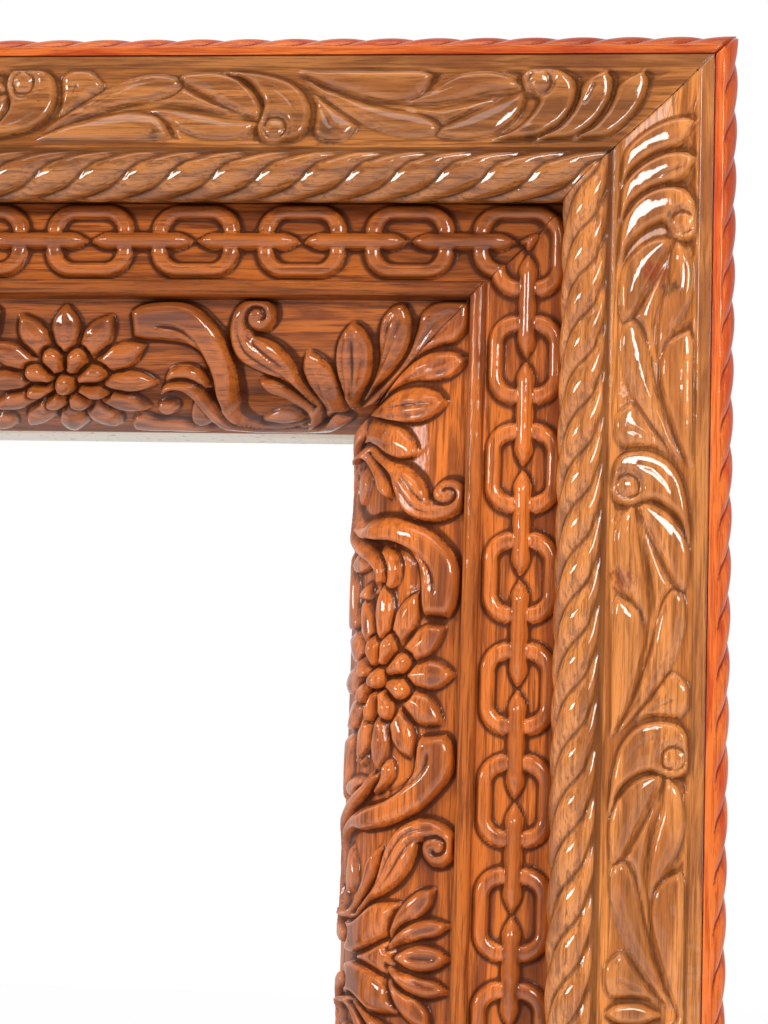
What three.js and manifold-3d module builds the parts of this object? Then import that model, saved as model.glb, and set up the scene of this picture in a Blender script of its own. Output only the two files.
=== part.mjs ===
// Carved hardwood picture frame, in millimetres. X runs to the right, Z up, and Y goes back to the wall.
// The origin lies on the wall face of the top side rail, half-way along the frame.
import * as THREE from 'three';
import { mergeVertices } from 'three/addons/utils/BufferGeometryUtils.js';
import Module from 'manifold-3d';

const wasm = await Module();
wasm.setup();

// Overall sizes: the sight opening, the width of the two carved boards and the depth to the wall
const sightWidth = 462;
const sightHeight = 427;
const faceWidth = 144.5;
const frontDepth = 96;

// Gaps between neighbouring pieces
const glueGap = 0.3;
const mitreGap = 0.3;
const stripMitreGap = 1.0;

const boardWidth = sightWidth + 2 * faceWidth;
const boardHeight = sightHeight + 2 * faceWidth;

// Profile of the outer board: w runs inward from its edge, d toward the viewer from its front edge
const filletWidth = 5.7;
const leafEdge = 34.5;
const ropeFoot = { w: 40.4, d: 2.7 };
const ropeEnd = { w: 56.5, d: -12 };
const ropeBulge = 9.5;
const ropePitch = 18.2;
const ropeSlant = 26;
const ropeTurns = [0.3, 0.62];
const ropeSink = 0.36;
const coveStep = { across: 0.6, down: 2 };
const coveLip = 2.4;
const lipFace = { start: 1.5, end: 4, height: 4.6 };
const outerBoardBack = -46;

// Profile of the inner board: chain floor, bead and the convex flower band down to the sight edge
const chainFloor = -17.3;
const beadStart = 89;
const beadEnd = 95.8;
const sightDepth = -57.8;
const innerBoardStart = ropeEnd.w + glueGap;
const beadProfile = [
  [beadStart, chainFloor], [beadStart + 0.4, -13.4], [beadStart + 2, -12], [beadEnd - 1.6, -12.4],
  [beadEnd, -15],
];
const flowerBand = [
  [beadEnd, -22], [112, -25.5], [122, -30], [130, -36], [138, -46], [faceWidth, sightDepth],
];

// Outer strip with its own rope twist along the boards' side
const stripFillet = 3.8;
const stripBulge = 6.1;
const stripHeight = 14;
const stripPitch = 19.4;
const stripSlant = 30;
const stripTurns = [0.33, 0.67];
const stripSink = 0.34;
const stripDepth = 16;

// Every strand of a twist swells a little on its crest, and its grooves also draw in along the arc
const crestSwell = 1.04;
const grooveDraw = 0.96;

// Chain carved along the inner board: flat ring links joined by bars on edge
const chainPitch = 43.8;
const firstLink = 121;
const linkLength = 38;
const linkWidth = 31;
const linkBand = 7.4;
const linkRise = 4.2;
const linkCorner = 8;
const barLength = 40.5;
const barWidth = 8;
const barRise = 5.8;
const barShoulder = 5;
const linkSlope = 1.2;
const linkRoot = 1;

// Flowers and leaf sprays of the flower band, placed by their distance along it and across it
const flowerAcross = 36;
const flowerFromCornerTop = 260.5;
const flowerFromCornerSide = 245.5;
const petalReach = 37;
const innerPetalReach = 19;
const bossRadius = 5;
const bossShoulder = 0.82;
const bossHeights = { top: 10.4, shoulder: 9, foot: 3.4, root: 3 };
const petalHeights = {
  centre: 5.4, innerCrest: 6.4, innerValley: 5, innerFoot: 2.4, outerCrest: 4.6, outerValley: 1.4,
  tip: -1.5, root: -6,
};
const leafRise = 4.5;
const leafFoot = -1.5;
const leafRootAcross = 56;
// Petals shorten toward the bead and, more so, where the band falls away to the sight edge
const petalSqueeze = { bead: 0.93, sight: 0.72 };

// Raw wood behind the boards: laths with the picture's rebate, and side rails that reach the wall
const lathStart = 100;
const lathBack = -frontDepth + 6;
const rebateWidth = 10;
const rebateDepth = 10;
const sideRailStart = 2;
const sideRailEnd = 38;
const gussetLeg = 64;
const gussetThickness = 2.6;
const gussetInset = 4;
const rebateClear = 1;

// Fittings on the back: turn buttons that hold a picture in, and strap hangers with swinging rings
const buttonLength = 40;
const buttonWidth = 14;
const buttonThickness = 2.2;
const buttonReach = 8;
const buttonClear = 1;
const screwRadius = 1.9;
const screwHeadRadius = 3.6;
const screwHeadHeight = 1.4;
const screwDepth = 10;
const screwHeadTop = 0.6;
const holePlay = 0.35;
const strapWidth = 13;
const strapLength = 34;
const strapThickness = 1.4;
const ringWire = 1.3;
const ringHalfWidth = 10.5;
const ringDrop = 22;
const hangerDrop = 190;
const strapScrewDrops = [10, 28];
const eyePlay = 0.25;

// Round parts have few sides, and cutters reach past what they cut
const roundSides = 6;
const eyeSides = 10;
const ringSteps = 8;
const spare = 20;

const colours = {
  strip: 0xb5521c, outerBoard: 0x8a5426, innerBoard: 0x834218, sideRail: 0xc9a877, lath: 0xd9bf94,
  plywood: 0xcdb083, brassPlate: 0xb08d4a, brassScrew: 0xb9a06a,
};

const frameBottom = -(boardHeight - (sideRailStart + sideRailEnd) / 2);
const frameTop = (sideRailStart + sideRailEnd) / 2;
const middleHeight = (frameBottom + frameTop) / 2;

// Closed solid from corner points and triangles
function solid(points, triangles) {
  const mesh = new wasm.Mesh({
    numProp: 3,
    vertProperties: new Float32Array(points.flat()),
    triVerts: new Uint32Array(triangles.flat()),
  });
  return new wasm.Manifold(mesh);
}

// Straight solid with the section [w, d] between the distances s0 and s1 along the rail
function prism(section, s0, s1) {
  return wavySolid(section.map(([w, d]) => () => [w, d]), [s0, s1], []);
}

// Solid whose section is a loop of rows along the rail. Rows named in wavy have a point for every
// station; the others are straight edges with two ends, and fans of triangles join the two kinds.
function wavySolid(rows, stations, wavy) {
  const points = [];
  const ends = [stations[0], stations[stations.length - 1]];
  const rowStarts = rows.map((row, index) => {
    const start = points.length;
    const places = wavy.includes(index) ? stations : ends;
    places.forEach((place) => {
      const [w, d, shift = 0] = row(place);
      points.push([place + shift, w, d]);
    });
    return start;
  });
  const triangles = [];
  const last = stations.length - 1;
  rows.forEach((row, index) => {
    const next = (index + 1) % rows.length;
    const [a, b] = [rowStarts[index], rowStarts[next]];
    const [aWavy, bWavy] = [wavy.includes(index), wavy.includes(next)];
    const aEnd = a + (aWavy ? last : 1);
    const bEnd = b + (bWavy ? last : 1);
    if (aWavy && bWavy) {
      for (let k = 0; k < last; k += 1) {
        triangles.push([a + k, a + k + 1, b + k + 1], [a + k, b + k + 1, b + k]);
      }
    } else if (aWavy) {
      const half = Math.floor(last / 2);
      for (let k = 0; k < last; k += 1) {
        triangles.push([a + k, a + k + 1, k < half ? b : bEnd]);
      }
      triangles.push([a + half, bEnd, b]);
    } else if (bWavy) {
      const half = Math.floor(last / 2);
      for (let k = 0; k < last; k += 1) {
        triangles.push([b + k + 1, b + k, k < half ? a : aEnd]);
      }
      triangles.push([b + half, a, aEnd]);
    } else {
      triangles.push([a, aEnd, bEnd], [a, bEnd, b]);
    }
  });
  // Each end is closed by a fan of triangles round its middle
  [0, 1].forEach((end) => {
    const rim = rowStarts.map((start, row) => start + end * (wavy.includes(row) ? last : 1));
    const centre = [0, 1, 2].map((axis) => rim.reduce((sum, k) => sum + points[k][axis], 0) / rim.length);
    points.push(centre);
    rim.forEach((k, row) => {
      const next = rim[(row + 1) % rim.length];
      triangles.push(end === 0 ? [k, next, points.length - 1] : [next, k, points.length - 1]);
    });
  });
  return outward(points, triangles);
}

// Same solid with its faces turned outward when the loop ran the other way round
function outward(points, triangles) {
  const volume = triangles.reduce((sum, [i, j, k]) => {
    const [a, b, c] = [points[i], points[j], points[k]];
    return sum + a[0] * (b[1] * c[2] - b[2] * c[1])
      + a[1] * (b[2] * c[0] - b[0] * c[2]) + a[2] * (b[0] * c[1] - b[1] * c[0]);
  }, 0);
  return solid(points, volume > 0 ? triangles : triangles.map(([i, j, k]) => [k, j, i]));
}

// Trapezoid block that cuts a rail's two mitres
function mitreBlock(length, wMin, wMax, gap) {
  const back = gap / Math.SQRT2;
  const corners = [
    [wMin + back, wMin], [length - wMin - back, wMin],
    [length - wMax - back, wMax], [wMax + back, wMax],
  ];
  return slab(corners, -frontDepth - spare, spare);
}

// Upright slab with the convex outline [s, w] between two depths
function slab(outline, d0, d1) {
  const count = outline.length;
  const points = [...outline.map(([s, w]) => [s, w, d0]), ...outline.map(([s, w]) => [s, w, d1])];
  const triangles = [];
  for (let i = 1; i < count - 1; i += 1) {
    triangles.push([0, i + 1, i], [count, count + i, count + i + 1]);
  }
  for (let i = 0; i < count; i += 1) {
    const j = (i + 1) % count;
    triangles.push([i, j, j + count], [i, j + count, i + count]);
  }
  return outward(points, triangles);
}

// Distances along a rail where a rope twist has its grooves and the crests between them
function twistStations(length, pitch, slant) {
  const stations = [];
  const first = -Math.ceil((slant + pitch) / pitch) * pitch;
  for (let s = first; s < length + slant + pitch; s += pitch / 2) {
    stations.push(s);
  }
  return stations;
}

// One row of a rope twist: an arc point that swells on the crests and sinks in the grooves
function twistRow(centre, along, out, turn, shift, pitch, sink) {
  return (place) => {
    const crest = Math.round(place / (pitch / 2)) % 2 !== 0;
    const reach = Math.cos(turn) * (crest ? 1 : grooveDraw);
    const size = Math.sin(turn) * (crest ? crestSwell : 1 - sink);
    const [w, d] = [0, 1].map((axis) => centre[axis] - along[axis] * reach + out[axis] * size);
    return [w, d, shift];
  };
}

// Outer strip: plain fillet beside the board and a half-round twist on the outside
function outerStrip(length) {
  const rim = -glueGap - stripFillet;
  const middle = [rim, -stripHeight / 2];
  const rows = [
    () => [-glueGap, 0],
    () => [-glueGap, -stripDepth],
    () => [rim, -stripDepth],
    () => [rim, -stripHeight, 0],
    ...stripTurns.map((t) => twistRow(
      middle, [0, stripHeight / 2], [-stripBulge, 0], Math.PI * (1 - t), stripSlant * (0.5 - t),
      stripPitch, stripSink,
    )).reverse(),
    () => [rim, 0, 0],
  ];
  const stations = twistStations(length, stripPitch, stripSlant);
  return wavySolid(rows, stations, [3, 4, 5, 6])
    .intersect(mitreBlock(length, rim - spare, spare, stripMitreGap));
}

// Outer board: fillet, sloping leaf band, cove and the big twist over its inner edge
function outerBoard(length) {
  const middle = [(ropeFoot.w + ropeEnd.w) / 2, (ropeFoot.d + ropeEnd.d) / 2];
  const along = [(ropeEnd.w - ropeFoot.w) / 2, (ropeEnd.d - ropeFoot.d) / 2];
  const chord = Math.hypot(along[0], along[1]);
  const out = [-along[1] / chord * ropeBulge, along[0] / chord * ropeBulge];
  const rows = [
    () => [0, outerBoardBack],
    () => [0, 0],
    () => [filletWidth, 0],
    () => [filletWidth + coveStep.across, -coveStep.down],
    () => [leafEdge, coveLip],
    () => [leafEdge + lipFace.start, lipFace.height],
    () => [leafEdge + lipFace.end, lipFace.height],
    () => [ropeFoot.w, ropeFoot.d, 0],
    ...ropeTurns.map((t) => twistRow(
      middle, along, out, Math.PI * t, ropeSlant * t, ropePitch, ropeSink,
    )),
    () => [ropeEnd.w, ropeEnd.d, ropeSlant],
    () => [ropeEnd.w, outerBoardBack],
  ];
  return wavySolid(rows, twistStations(length, ropePitch, ropeSlant), [7, 8, 9, 10])
    .intersect(mitreBlock(length, -spare, ropeEnd.w + spare, mitreGap));
}

// Rectangle with its corners cut off, as [s, w] points round a centre
function cutRectangle(s, w, length, width, corner) {
  const [a, b] = [length / 2, width / 2];
  return [
    [s - a, w - b + corner], [s - a + corner, w - b], [s + a - corner, w - b], [s + a, w - b + corner],
    [s + a, w + b - corner], [s + a - corner, w + b], [s - a + corner, w + b], [s - a, w + b - corner],
  ];
}

// Ring link: an eight-cornered band round a four-cornered hole, with sloping walls
function ringLink(s, w) {
  const foot = chainFloor - linkRoot;
  const top = chainFloor + linkRise;
  const [a, b] = [linkLength / 2 - linkBand, linkWidth / 2 - linkBand];
  const hole = (grow) => [
    [s - a - grow, w - b - grow], [s + a + grow, w - b - grow],
    [s + a + grow, w + b + grow], [s - a - grow, w + b + grow],
  ];
  const rim = cutRectangle(
    s, w, linkLength - 2 * linkSlope, linkWidth - 2 * linkSlope, linkCorner - linkSlope / 2,
  );
  const points = [
    ...cutRectangle(s, w, linkLength, linkWidth, linkCorner).map((point) => [...point, foot]),
    ...rim.map((point) => [...point, top]),
    ...hole(linkSlope).map((point) => [...point, top]),
    ...hole(0).map((point) => [...point, foot]),
  ];
  const triangles = [];
  for (let k = 0; k < 8; k += 1) {
    const next = (k + 1) % 8;
    triangles.push([k, next, 8 + next], [k, 8 + next, 8 + k]);
  }
  for (let k = 0; k < 4; k += 1) {
    const [near, far] = [2 * k, 2 * k + 1];
    const [after, next] = [(2 * k + 2) % 8, (k + 1) % 4];
    triangles.push([8 + near, 8 + far, 16 + k], [8 + far, 8 + after, 16 + next]);
    triangles.push([8 + far, 16 + next, 16 + k]);
    triangles.push([16 + k, 16 + next, 20 + next], [16 + k, 20 + next, 20 + k]);
    triangles.push([near, 20 + k, far], [far, 20 + next, after], [far, 20 + k, 20 + next]);
  }
  return outward(points, triangles);
}

// Link seen on edge: a bar with a ridge along it and two pointed ends
function barLink(s, w) {
  const [half, side] = [barLength / 2, barWidth / 2];
  const foot = chainFloor - linkRoot;
  const top = chainFloor + barRise;
  const [near, far] = [s - half + barShoulder, s + half - barShoulder];
  const points = [
    [s - half, w, foot], [near, w - side, foot], [far, w - side, foot],
    [s + half, w, foot], [far, w + side, foot], [near, w + side, foot],
    [near, w, top], [far, w, top],
  ];
  const triangles = [
    [0, 5, 4], [0, 4, 3], [0, 3, 2], [0, 2, 1], [1, 2, 7], [1, 7, 6], [4, 5, 6], [4, 6, 7],
    [0, 1, 6], [0, 6, 5], [3, 4, 7], [3, 7, 2],
  ];
  return outward(points, triangles);
}

// Point of the flower band: q is measured across it from the bead, h stands out from its surface
function bandPoint(s, q, h) {
  let rest = q;
  for (let k = 0; k < flowerBand.length - 1; k += 1) {
    const [[w0, d0], [w1, d1]] = [flowerBand[k], flowerBand[k + 1]];
    const span = Math.hypot(w1 - w0, d1 - d0);
    if (rest <= span || k === flowerBand.length - 2) {
      const t = rest / span;
      const normal = [-(d1 - d0) / span, (w1 - w0) / span];
      return [s, w0 + (w1 - w0) * t + normal[0] * h, d0 + (d1 - d0) * t + normal[1] * h];
    }
    rest -= span;
  }
  return [s, faceWidth, sightDepth];
}

// Flower of twelve long petals under eight short ones, in rings of [radius, height] round its centre
function flower(s, q) {
  const samples = 24;
  const long = (k) => k % 2 === 0;
  const short = (k) => k % 3 === 0;
  const heights = petalHeights;
  const rings = [
    (k) => [innerPetalReach * (short(k) ? 1 : 0.8), short(k) ? heights.innerCrest : heights.innerValley],
    (k) => [innerPetalReach * (short(k) ? 1.03 : 0.84), heights.innerFoot],
    (k) => [petalReach * (long(k) ? 0.66 : 0.6), long(k) ? heights.outerCrest : heights.outerValley],
    (k) => [petalReach * (long(k) ? 1 : 0.8), heights.tip],
  ];
  const points = [bandPoint(s, q, heights.centre)];
  rings.forEach((ring) => {
    for (let k = 0; k < samples; k += 1) {
      const turn = 2 * Math.PI * k / samples;
      const [radius, height] = ring(k);
      const squeeze = Math.sin(turn) > 0 ? petalSqueeze.sight : petalSqueeze.bead;
      points.push(bandPoint(s + Math.cos(turn) * radius, q + Math.sin(turn) * radius * squeeze, height));
    }
  });
  points.push(bandPoint(s, q, heights.root));
  const rim = 1 + (rings.length - 1) * samples;
  const triangles = [];
  for (let k = 0; k < samples; k += 1) {
    const next = (k + 1) % samples;
    triangles.push([0, 1 + k, 1 + next]);
    for (let start = 1; start < rim; start += samples) {
      triangles.push([start + k, start + samples + k, start + samples + next]);
      triangles.push([start + k, start + samples + next, start + next]);
    }
    triangles.push([rim + k, points.length - 1, rim + next]);
  }
  return outward(points, triangles).add(boss(s, q));
}

// Round boss in the middle of a flower
function boss(s, q) {
  const sides = roundSides;
  const points = [bandPoint(s, q, bossHeights.top), bandPoint(s, q, bossHeights.root)];
  [[bossShoulder, bossHeights.shoulder], [1, bossHeights.foot]].forEach(([share, height]) => {
    for (let k = 0; k < sides; k += 1) {
      const turn = 2 * Math.PI * (k + 0.5) / sides;
      const radius = bossRadius * share;
      points.push(bandPoint(s + Math.cos(turn) * radius, q + Math.sin(turn) * radius, height));
    }
  });
  const triangles = [];
  for (let k = 0; k < sides; k += 1) {
    const [a, b] = [2 + k, 2 + (k + 1) % sides];
    triangles.push([0, a, b], [a, a + sides, b + sides], [a, b + sides, b], [a + sides, 1, b + sides]);
  }
  return outward(points, triangles);
}

// Leaf with a raised middle rib, from its root to its tip, both [s, q]
function leaf(root, tip, width) {
  const [ds, dq] = [tip[0] - root[0], tip[1] - root[1]];
  const span = Math.hypot(ds, dq);
  const side = [-dq / span * width / 2, ds / span * width / 2];
  const at = (t, across, h) => bandPoint(
    root[0] + ds * t + side[0] * across, root[1] + dq * t + side[1] * across, h,
  );
  const rim = [[0, 0], [0.3, 1], [0.66, 1], [1, 0], [0.66, -1], [0.3, -1]];
  const points = [
    ...rim.map(([t, across]) => at(t, across, leafFoot)), at(0.25, 0, leafRise), at(0.72, 0, leafRise),
  ];
  const triangles = [
    [0, 1, 6], [1, 2, 7], [1, 7, 6], [2, 3, 7], [3, 4, 7], [4, 5, 6], [4, 6, 7], [5, 0, 6],
    [2, 1, 0], [3, 2, 0], [4, 3, 0], [5, 4, 0],
  ];
  return outward(points, triangles);
}

// Flower and leaf sprays between a mitre and the rail's middle
function bandCarving(length, flowerPlace) {
  const middle = length / 2;
  const leaves = [
    { root: faceWidth + 3, tip: [faceWidth + 15, 9], width: 17 },
    { root: middle - 4, tip: [middle - 26, 12], width: 15 },
    { root: middle, tip: [middle, 6], width: 18 },
  ];
  return [
    flower(flowerPlace, flowerAcross),
    ...leaves.map(({ root, tip, width }) => leaf([root, leafRootAcross], tip, width)),
  ];
}

// Inner board: chain band, bead and flower band, cut at its mitres
function innerBoard(length, flowerPlace) {
  const section = [
    [innerBoardStart, sightDepth], [innerBoardStart, chainFloor], ...beadProfile, ...flowerBand,
  ];
  const chainLine = (innerBoardStart + beadStart) / 2;
  const half = [...bandCarving(length, flowerPlace)];
  const pieces = [
    prism(section, -spare, length + spare), ...half, ...half.map((piece) => mirrored(piece, length)),
  ];
  const lastLink = length - chainLine - linkLength / 2;
  for (let s = firstLink - chainPitch; s < lastLink + chainPitch; s += chainPitch) {
    pieces.push(ringLink(s, chainLine));
    pieces.push(barLink(s + chainPitch / 2, chainLine));
  }
  const carved = wasm.Manifold.union(pieces);
  const [low, high] = [-chainPitch, length + chainPitch];
  const kept = slab(
    [[low, innerBoardStart], [high, innerBoardStart], [high, faceWidth], [low, faceWidth]], sightDepth, spare,
  );
  return carved.intersect(kept)
    .intersect(mitreBlock(length, innerBoardStart - spare, faceWidth + spare, mitreGap));
}

// The same solid seen from the rail's other end
function mirrored(piece, length) {
  return mapped(piece, ([s, w, d]) => [length - s, w, d]);
}

// Solid moved point by point, with its faces kept outward
function mapped(piece, move) {
  const mesh = piece.getMesh();
  const points = [];
  for (let k = 0; k < mesh.vertProperties.length; k += mesh.numProp) {
    points.push(move(Array.from(mesh.vertProperties.slice(k, k + 3))));
  }
  const triangles = [];
  for (let k = 0; k < mesh.triVerts.length; k += 3) {
    triangles.push(Array.from(mesh.triVerts.slice(k, k + 3)));
  }
  return outward(points, triangles);
}

// Raw lath behind the inner board, with the step that a picture rests against
function backLath(length) {
  const front = sightDepth - glueGap;
  const section = [
    [lathStart, front], [faceWidth, front], [faceWidth, lathBack + rebateDepth],
    [faceWidth - rebateWidth, lathBack + rebateDepth], [faceWidth - rebateWidth, lathBack],
    [lathStart, lathBack],
  ];
  return prism(section, -spare, length + spare)
    .intersect(mitreBlock(length, lathStart - spare, faceWidth + spare, mitreGap));
}

// Raw side rail behind the outer board, which reaches back to the wall
function sideRail(length) {
  const section = [
    [sideRailStart, outerBoardBack - glueGap], [sideRailEnd, outerBoardBack - glueGap],
    [sideRailEnd, -frontDepth], [sideRailStart, -frontDepth],
  ];
  return prism(section, -spare, length + spare)
    .intersect(mitreBlock(length, -spare, sideRailEnd + spare, mitreGap));
}

// Ways to lay a rail out in the frame: the top one, the right one, and both turned half round
const places = {
  top: ([s, w, d]) => [boardWidth / 2 - s, -(frontDepth + d), frameTop - w],
  right: ([s, w, d]) => [boardWidth / 2 - w, -(frontDepth + d), frameTop - s],
  bottom: ([s, w, d]) => [s - boardWidth / 2, -(frontDepth + d), frameBottom + w],
  left: ([s, w, d]) => [w - boardWidth / 2, -(frontDepth + d), frameBottom + s],
};

const group = new THREE.Group();

// Adds a solid that already lies in the frame as one named piece
function addPiece(name, piece, material) {
  const mesh = piece.getMesh();
  const count = mesh.vertProperties.length / mesh.numProp;
  const positions = new Float32Array(count * 3);
  for (let k = 0; k < count; k += 1) {
    positions.set(mesh.vertProperties.subarray(k * mesh.numProp, k * mesh.numProp + 3), k * 3);
  }
  const geometry = new THREE.BufferGeometry();
  geometry.setAttribute('position', new THREE.BufferAttribute(positions, 3));
  geometry.setIndex(new THREE.BufferAttribute(new Uint32Array(mesh.triVerts), 1));
  geometry.computeVertexNormals();
  const node = new THREE.Mesh(geometry, material);
  node.name = name;
  group.add(node);
}

function material(color, roughness, metalness) {
  return new THREE.MeshStandardMaterial({ color, roughness, metalness, flatShading: true });
}

const varnished = (color) => material(color, 0.3, 0);
const raw = (color) => material(color, 0.8, 0);
const metal = (color) => material(color, 0.35, 1);

const stripSolids = { top: outerStrip(boardWidth), right: outerStrip(boardHeight) };
const outerSolids = { top: outerBoard(boardWidth), right: outerBoard(boardHeight) };
const innerSolids = {
  top: innerBoard(boardWidth, flowerFromCornerTop),
  right: innerBoard(boardHeight, flowerFromCornerSide),
};
const sideSolids = { top: sideRail(boardWidth), right: sideRail(boardHeight) };
const lathSolids = { top: backLath(boardWidth), right: backLath(boardHeight) };

// Screw with a low round head, its shank going in along the depth from the place [x, z] at height y
function screw(x, z, seat) {
  const rings = [
    [screwRadius, seat - screwDepth], [screwRadius, seat], [screwHeadRadius, seat],
    [screwHeadRadius * screwHeadTop, seat + screwHeadHeight],
  ];
  return turned(rings, x, z, roundSides);
}

// Solid of revolution about a line along Y through [x, z], from rings of [radius, y]
function turned(rings, x, z, sides) {
  const points = rings.flatMap(([radius, y]) => Array.from({ length: sides }, (_, k) => {
    const turn = 2 * Math.PI * k / sides;
    return [x + radius * Math.cos(turn), y, z + radius * Math.sin(turn)];
  }));
  points.push([x, rings[0][1], z], [x, rings[rings.length - 1][1], z]);
  const [first, last] = [points.length - 2, points.length - 1];
  const triangles = [];
  for (let k = 0; k < sides; k += 1) {
    const next = (k + 1) % sides;
    triangles.push([first, k, next]);
    for (let ring = 0; ring < rings.length - 1; ring += 1) {
      const [a, b] = [ring * sides + k, ring * sides + next];
      triangles.push([a, a + sides, b + sides], [a, b + sides, b]);
    }
    const base = (rings.length - 1) * sides;
    triangles.push([last, base + next, base + k]);
  }
  return outward(points, triangles);
}

// Plate with the outline [x, z] between two depths y
function plate(outline, y0, y1) {
  const flat = slab(outline, y0, y1);
  return mapped(flat, ([x, z, y]) => [x, y, z]);
}

// Outline of a rectangle with round ends, turned by an angle about its centre
function roundEnded(x, z, length, width, turn) {
  const radius = width / 2;
  const points = [];
  for (const end of [0, 1]) {
    for (let k = 0; k <= 3; k += 1) {
      const angle = -Math.PI / 2 + Math.PI * k / 3 + Math.PI * end;
      const centre = (length / 2 - radius) * (end === 0 ? 1 : -1);
      points.push([centre + radius * Math.cos(angle), radius * Math.sin(angle)]);
    }
  }
  return points.map(([a, b]) => [
    x + a * Math.cos(turn) - b * Math.sin(turn), z + a * Math.sin(turn) + b * Math.cos(turn),
  ]);
}

const lathFace = -frontDepth - lathBack;
const buttonSeat = lathFace + glueGap;
const buttonBack = buttonSeat + buttonThickness;
const lathMiddle = (lathStart + faceWidth - rebateWidth) / 2;
const buttonPivot = faceWidth - rebateWidth + buttonReach - buttonLength / 2 - buttonClear;

// Two turn buttons on each long lath and one on each short lath
const buttonPlaces = [
  { name: 'turn_button_top', x: 0, z: frameTop - buttonPivot, turn: Math.PI / 2 },
  { name: 'turn_button_bottom', x: 0, z: frameBottom + buttonPivot, turn: Math.PI / 2 },
  { name: 'turn_button_right', x: boardWidth / 2 - buttonPivot, z: middleHeight, turn: 0 },
  { name: 'turn_button_left', x: -boardWidth / 2 + buttonPivot, z: middleHeight, turn: 0 },
];

// Hole for a screw at [x, z], between two depths y
function screwHole(x, z, y0, y1) {
  const radius = screwRadius + holePlay;
  return turned([[radius, y0], [radius, y1]], x, z, roundSides);
}

// The screw hole that a lath needs
const lathHole = (x, z) => screwHole(x, z, lathFace - screwDepth, lathFace + spare);

// Strap hangers on the two side laths, in their upper part
const hangerX = boardWidth / 2 - lathMiddle;
const hangerZ = frameTop - hangerDrop;
const strapSeat = lathFace + glueGap;
const strapBack = strapSeat + strapThickness;
const strapScrews = strapScrewDrops.map((drop) => hangerZ - drop);
const hangers = [
  { side: 'right', x: hangerX },
  { side: 'left', x: -hangerX },
];

// Places every rail and cuts the screw holes in the laths
for (const [name, place] of Object.entries(places)) {
  const kind = name === 'top' || name === 'bottom' ? 'top' : 'right';
  addPiece(`outer_rope_strip_${name}`, mapped(stripSolids[kind], place), varnished(colours.strip));
  addPiece(`leaf_board_${name}`, mapped(outerSolids[kind], place), varnished(colours.outerBoard));
  addPiece(`chain_flower_board_${name}`, mapped(innerSolids[kind], place), varnished(colours.innerBoard));
  addPiece(`side_rail_${name}`, mapped(sideSolids[kind], place), raw(colours.sideRail));
  let lath = mapped(lathSolids[kind], place);
  for (const button of buttonPlaces.filter((entry) => entry.name.endsWith(name))) {
    lath = lath.subtract(lathHole(button.x, button.z));
  }
  for (const hanger of hangers.filter((entry) => entry.side === name)) {
    for (const z of strapScrews) {
      lath = lath.subtract(lathHole(hanger.x, z));
    }
  }
  addPiece(`back_lath_${name}`, lath, raw(colours.lath));
}

// Thin plywood triangles across the laths' mitres
const corners = [['top_right', 1, 1], ['top_left', -1, 1], ['bottom_right', 1, -1], ['bottom_left', -1, -1]];
for (const [name, sx, sz] of corners) {
  const inset = lathStart + gussetInset;
  const corner = [sx * (boardWidth / 2 - inset), middleHeight + sz * (boardHeight / 2 - inset)];
  const outline = [
    corner, [corner[0] - sx * gussetLeg, corner[1]], [corner[0], corner[1] - sz * gussetLeg],
  ];
  const rebate = faceWidth - rebateWidth - rebateClear;
  const inner = [sx * (boardWidth / 2 - rebate), middleHeight + sz * (boardHeight / 2 - rebate)];
  const notch = [
    inner, [inner[0] - sx * gussetLeg, inner[1]], [inner[0] - sx * gussetLeg, inner[1] - sz * gussetLeg],
    [inner[0], inner[1] - sz * gussetLeg],
  ];
  const gusset = plate(outline, lathFace + glueGap, lathFace + glueGap + gussetThickness)
    .subtract(plate(notch, lathFace - spare, lathFace + spare));
  addPiece(`corner_gusset_${name}`, gusset, raw(colours.plywood));
}

// Turn buttons, each with its screw through the middle
for (const button of buttonPlaces) {
  const blank = plate(
    roundEnded(button.x, button.z, buttonLength, buttonWidth, button.turn), buttonSeat, buttonBack,
  );
  const hole = screwHole(button.x, button.z, buttonSeat - spare, buttonBack + spare);
  addPiece(button.name, blank.subtract(hole), metal(colours.brassPlate));
  const screwName = button.name.replace('turn_button', 'button_screw');
  addPiece(screwName, screw(button.x, button.z, buttonBack + glueGap), metal(colours.brassScrew));
}

// Strap hangers: a plate folded round the ring's straight bar, with two screws
const eyeRadius = ringWire + eyePlay;
const eyeOuter = eyeRadius + strapThickness;
const eyeY = strapSeat + eyeOuter;

// Tube bent along a flat loop of [x, z] points at the depth y
function loopTube(loop, y, radius, sides) {
  const points = [];
  loop.forEach(([x, z], index) => {
    const before = loop[(index + loop.length - 1) % loop.length];
    const after = loop[(index + 1) % loop.length];
    const [dx, dz] = [after[0] - before[0], after[1] - before[1]];
    const span = Math.hypot(dx, dz);
    for (let k = 0; k < sides; k += 1) {
      const turn = 2 * Math.PI * k / sides;
      const across = radius * Math.cos(turn);
      points.push([x + dz / span * across, y + radius * Math.sin(turn), z - dx / span * across]);
    }
  });
  const triangles = [];
  for (let i = 0; i < loop.length; i += 1) {
    const j = (i + 1) % loop.length;
    for (let k = 0; k < sides; k += 1) {
      const next = (k + 1) % sides;
      const [a, b, c, d] = [i * sides + k, i * sides + next, j * sides + next, j * sides + k];
      triangles.push([a, b, c], [a, c, d]);
    }
  }
  return outward(points, triangles);
}

// Round bar through a hanger's eye, between two places along X
function eyeRoll(radius, x0, x1) {
  const outline = Array.from({ length: eyeSides }, (_, k) => {
    const turn = 2 * Math.PI * k / eyeSides + Math.PI / 2;
    return [eyeY + radius * Math.cos(turn), hangerZ + radius * Math.sin(turn)];
  });
  return mapped(slab(outline, x0, x1), ([y, z, x]) => [x, y, z]);
}

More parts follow.
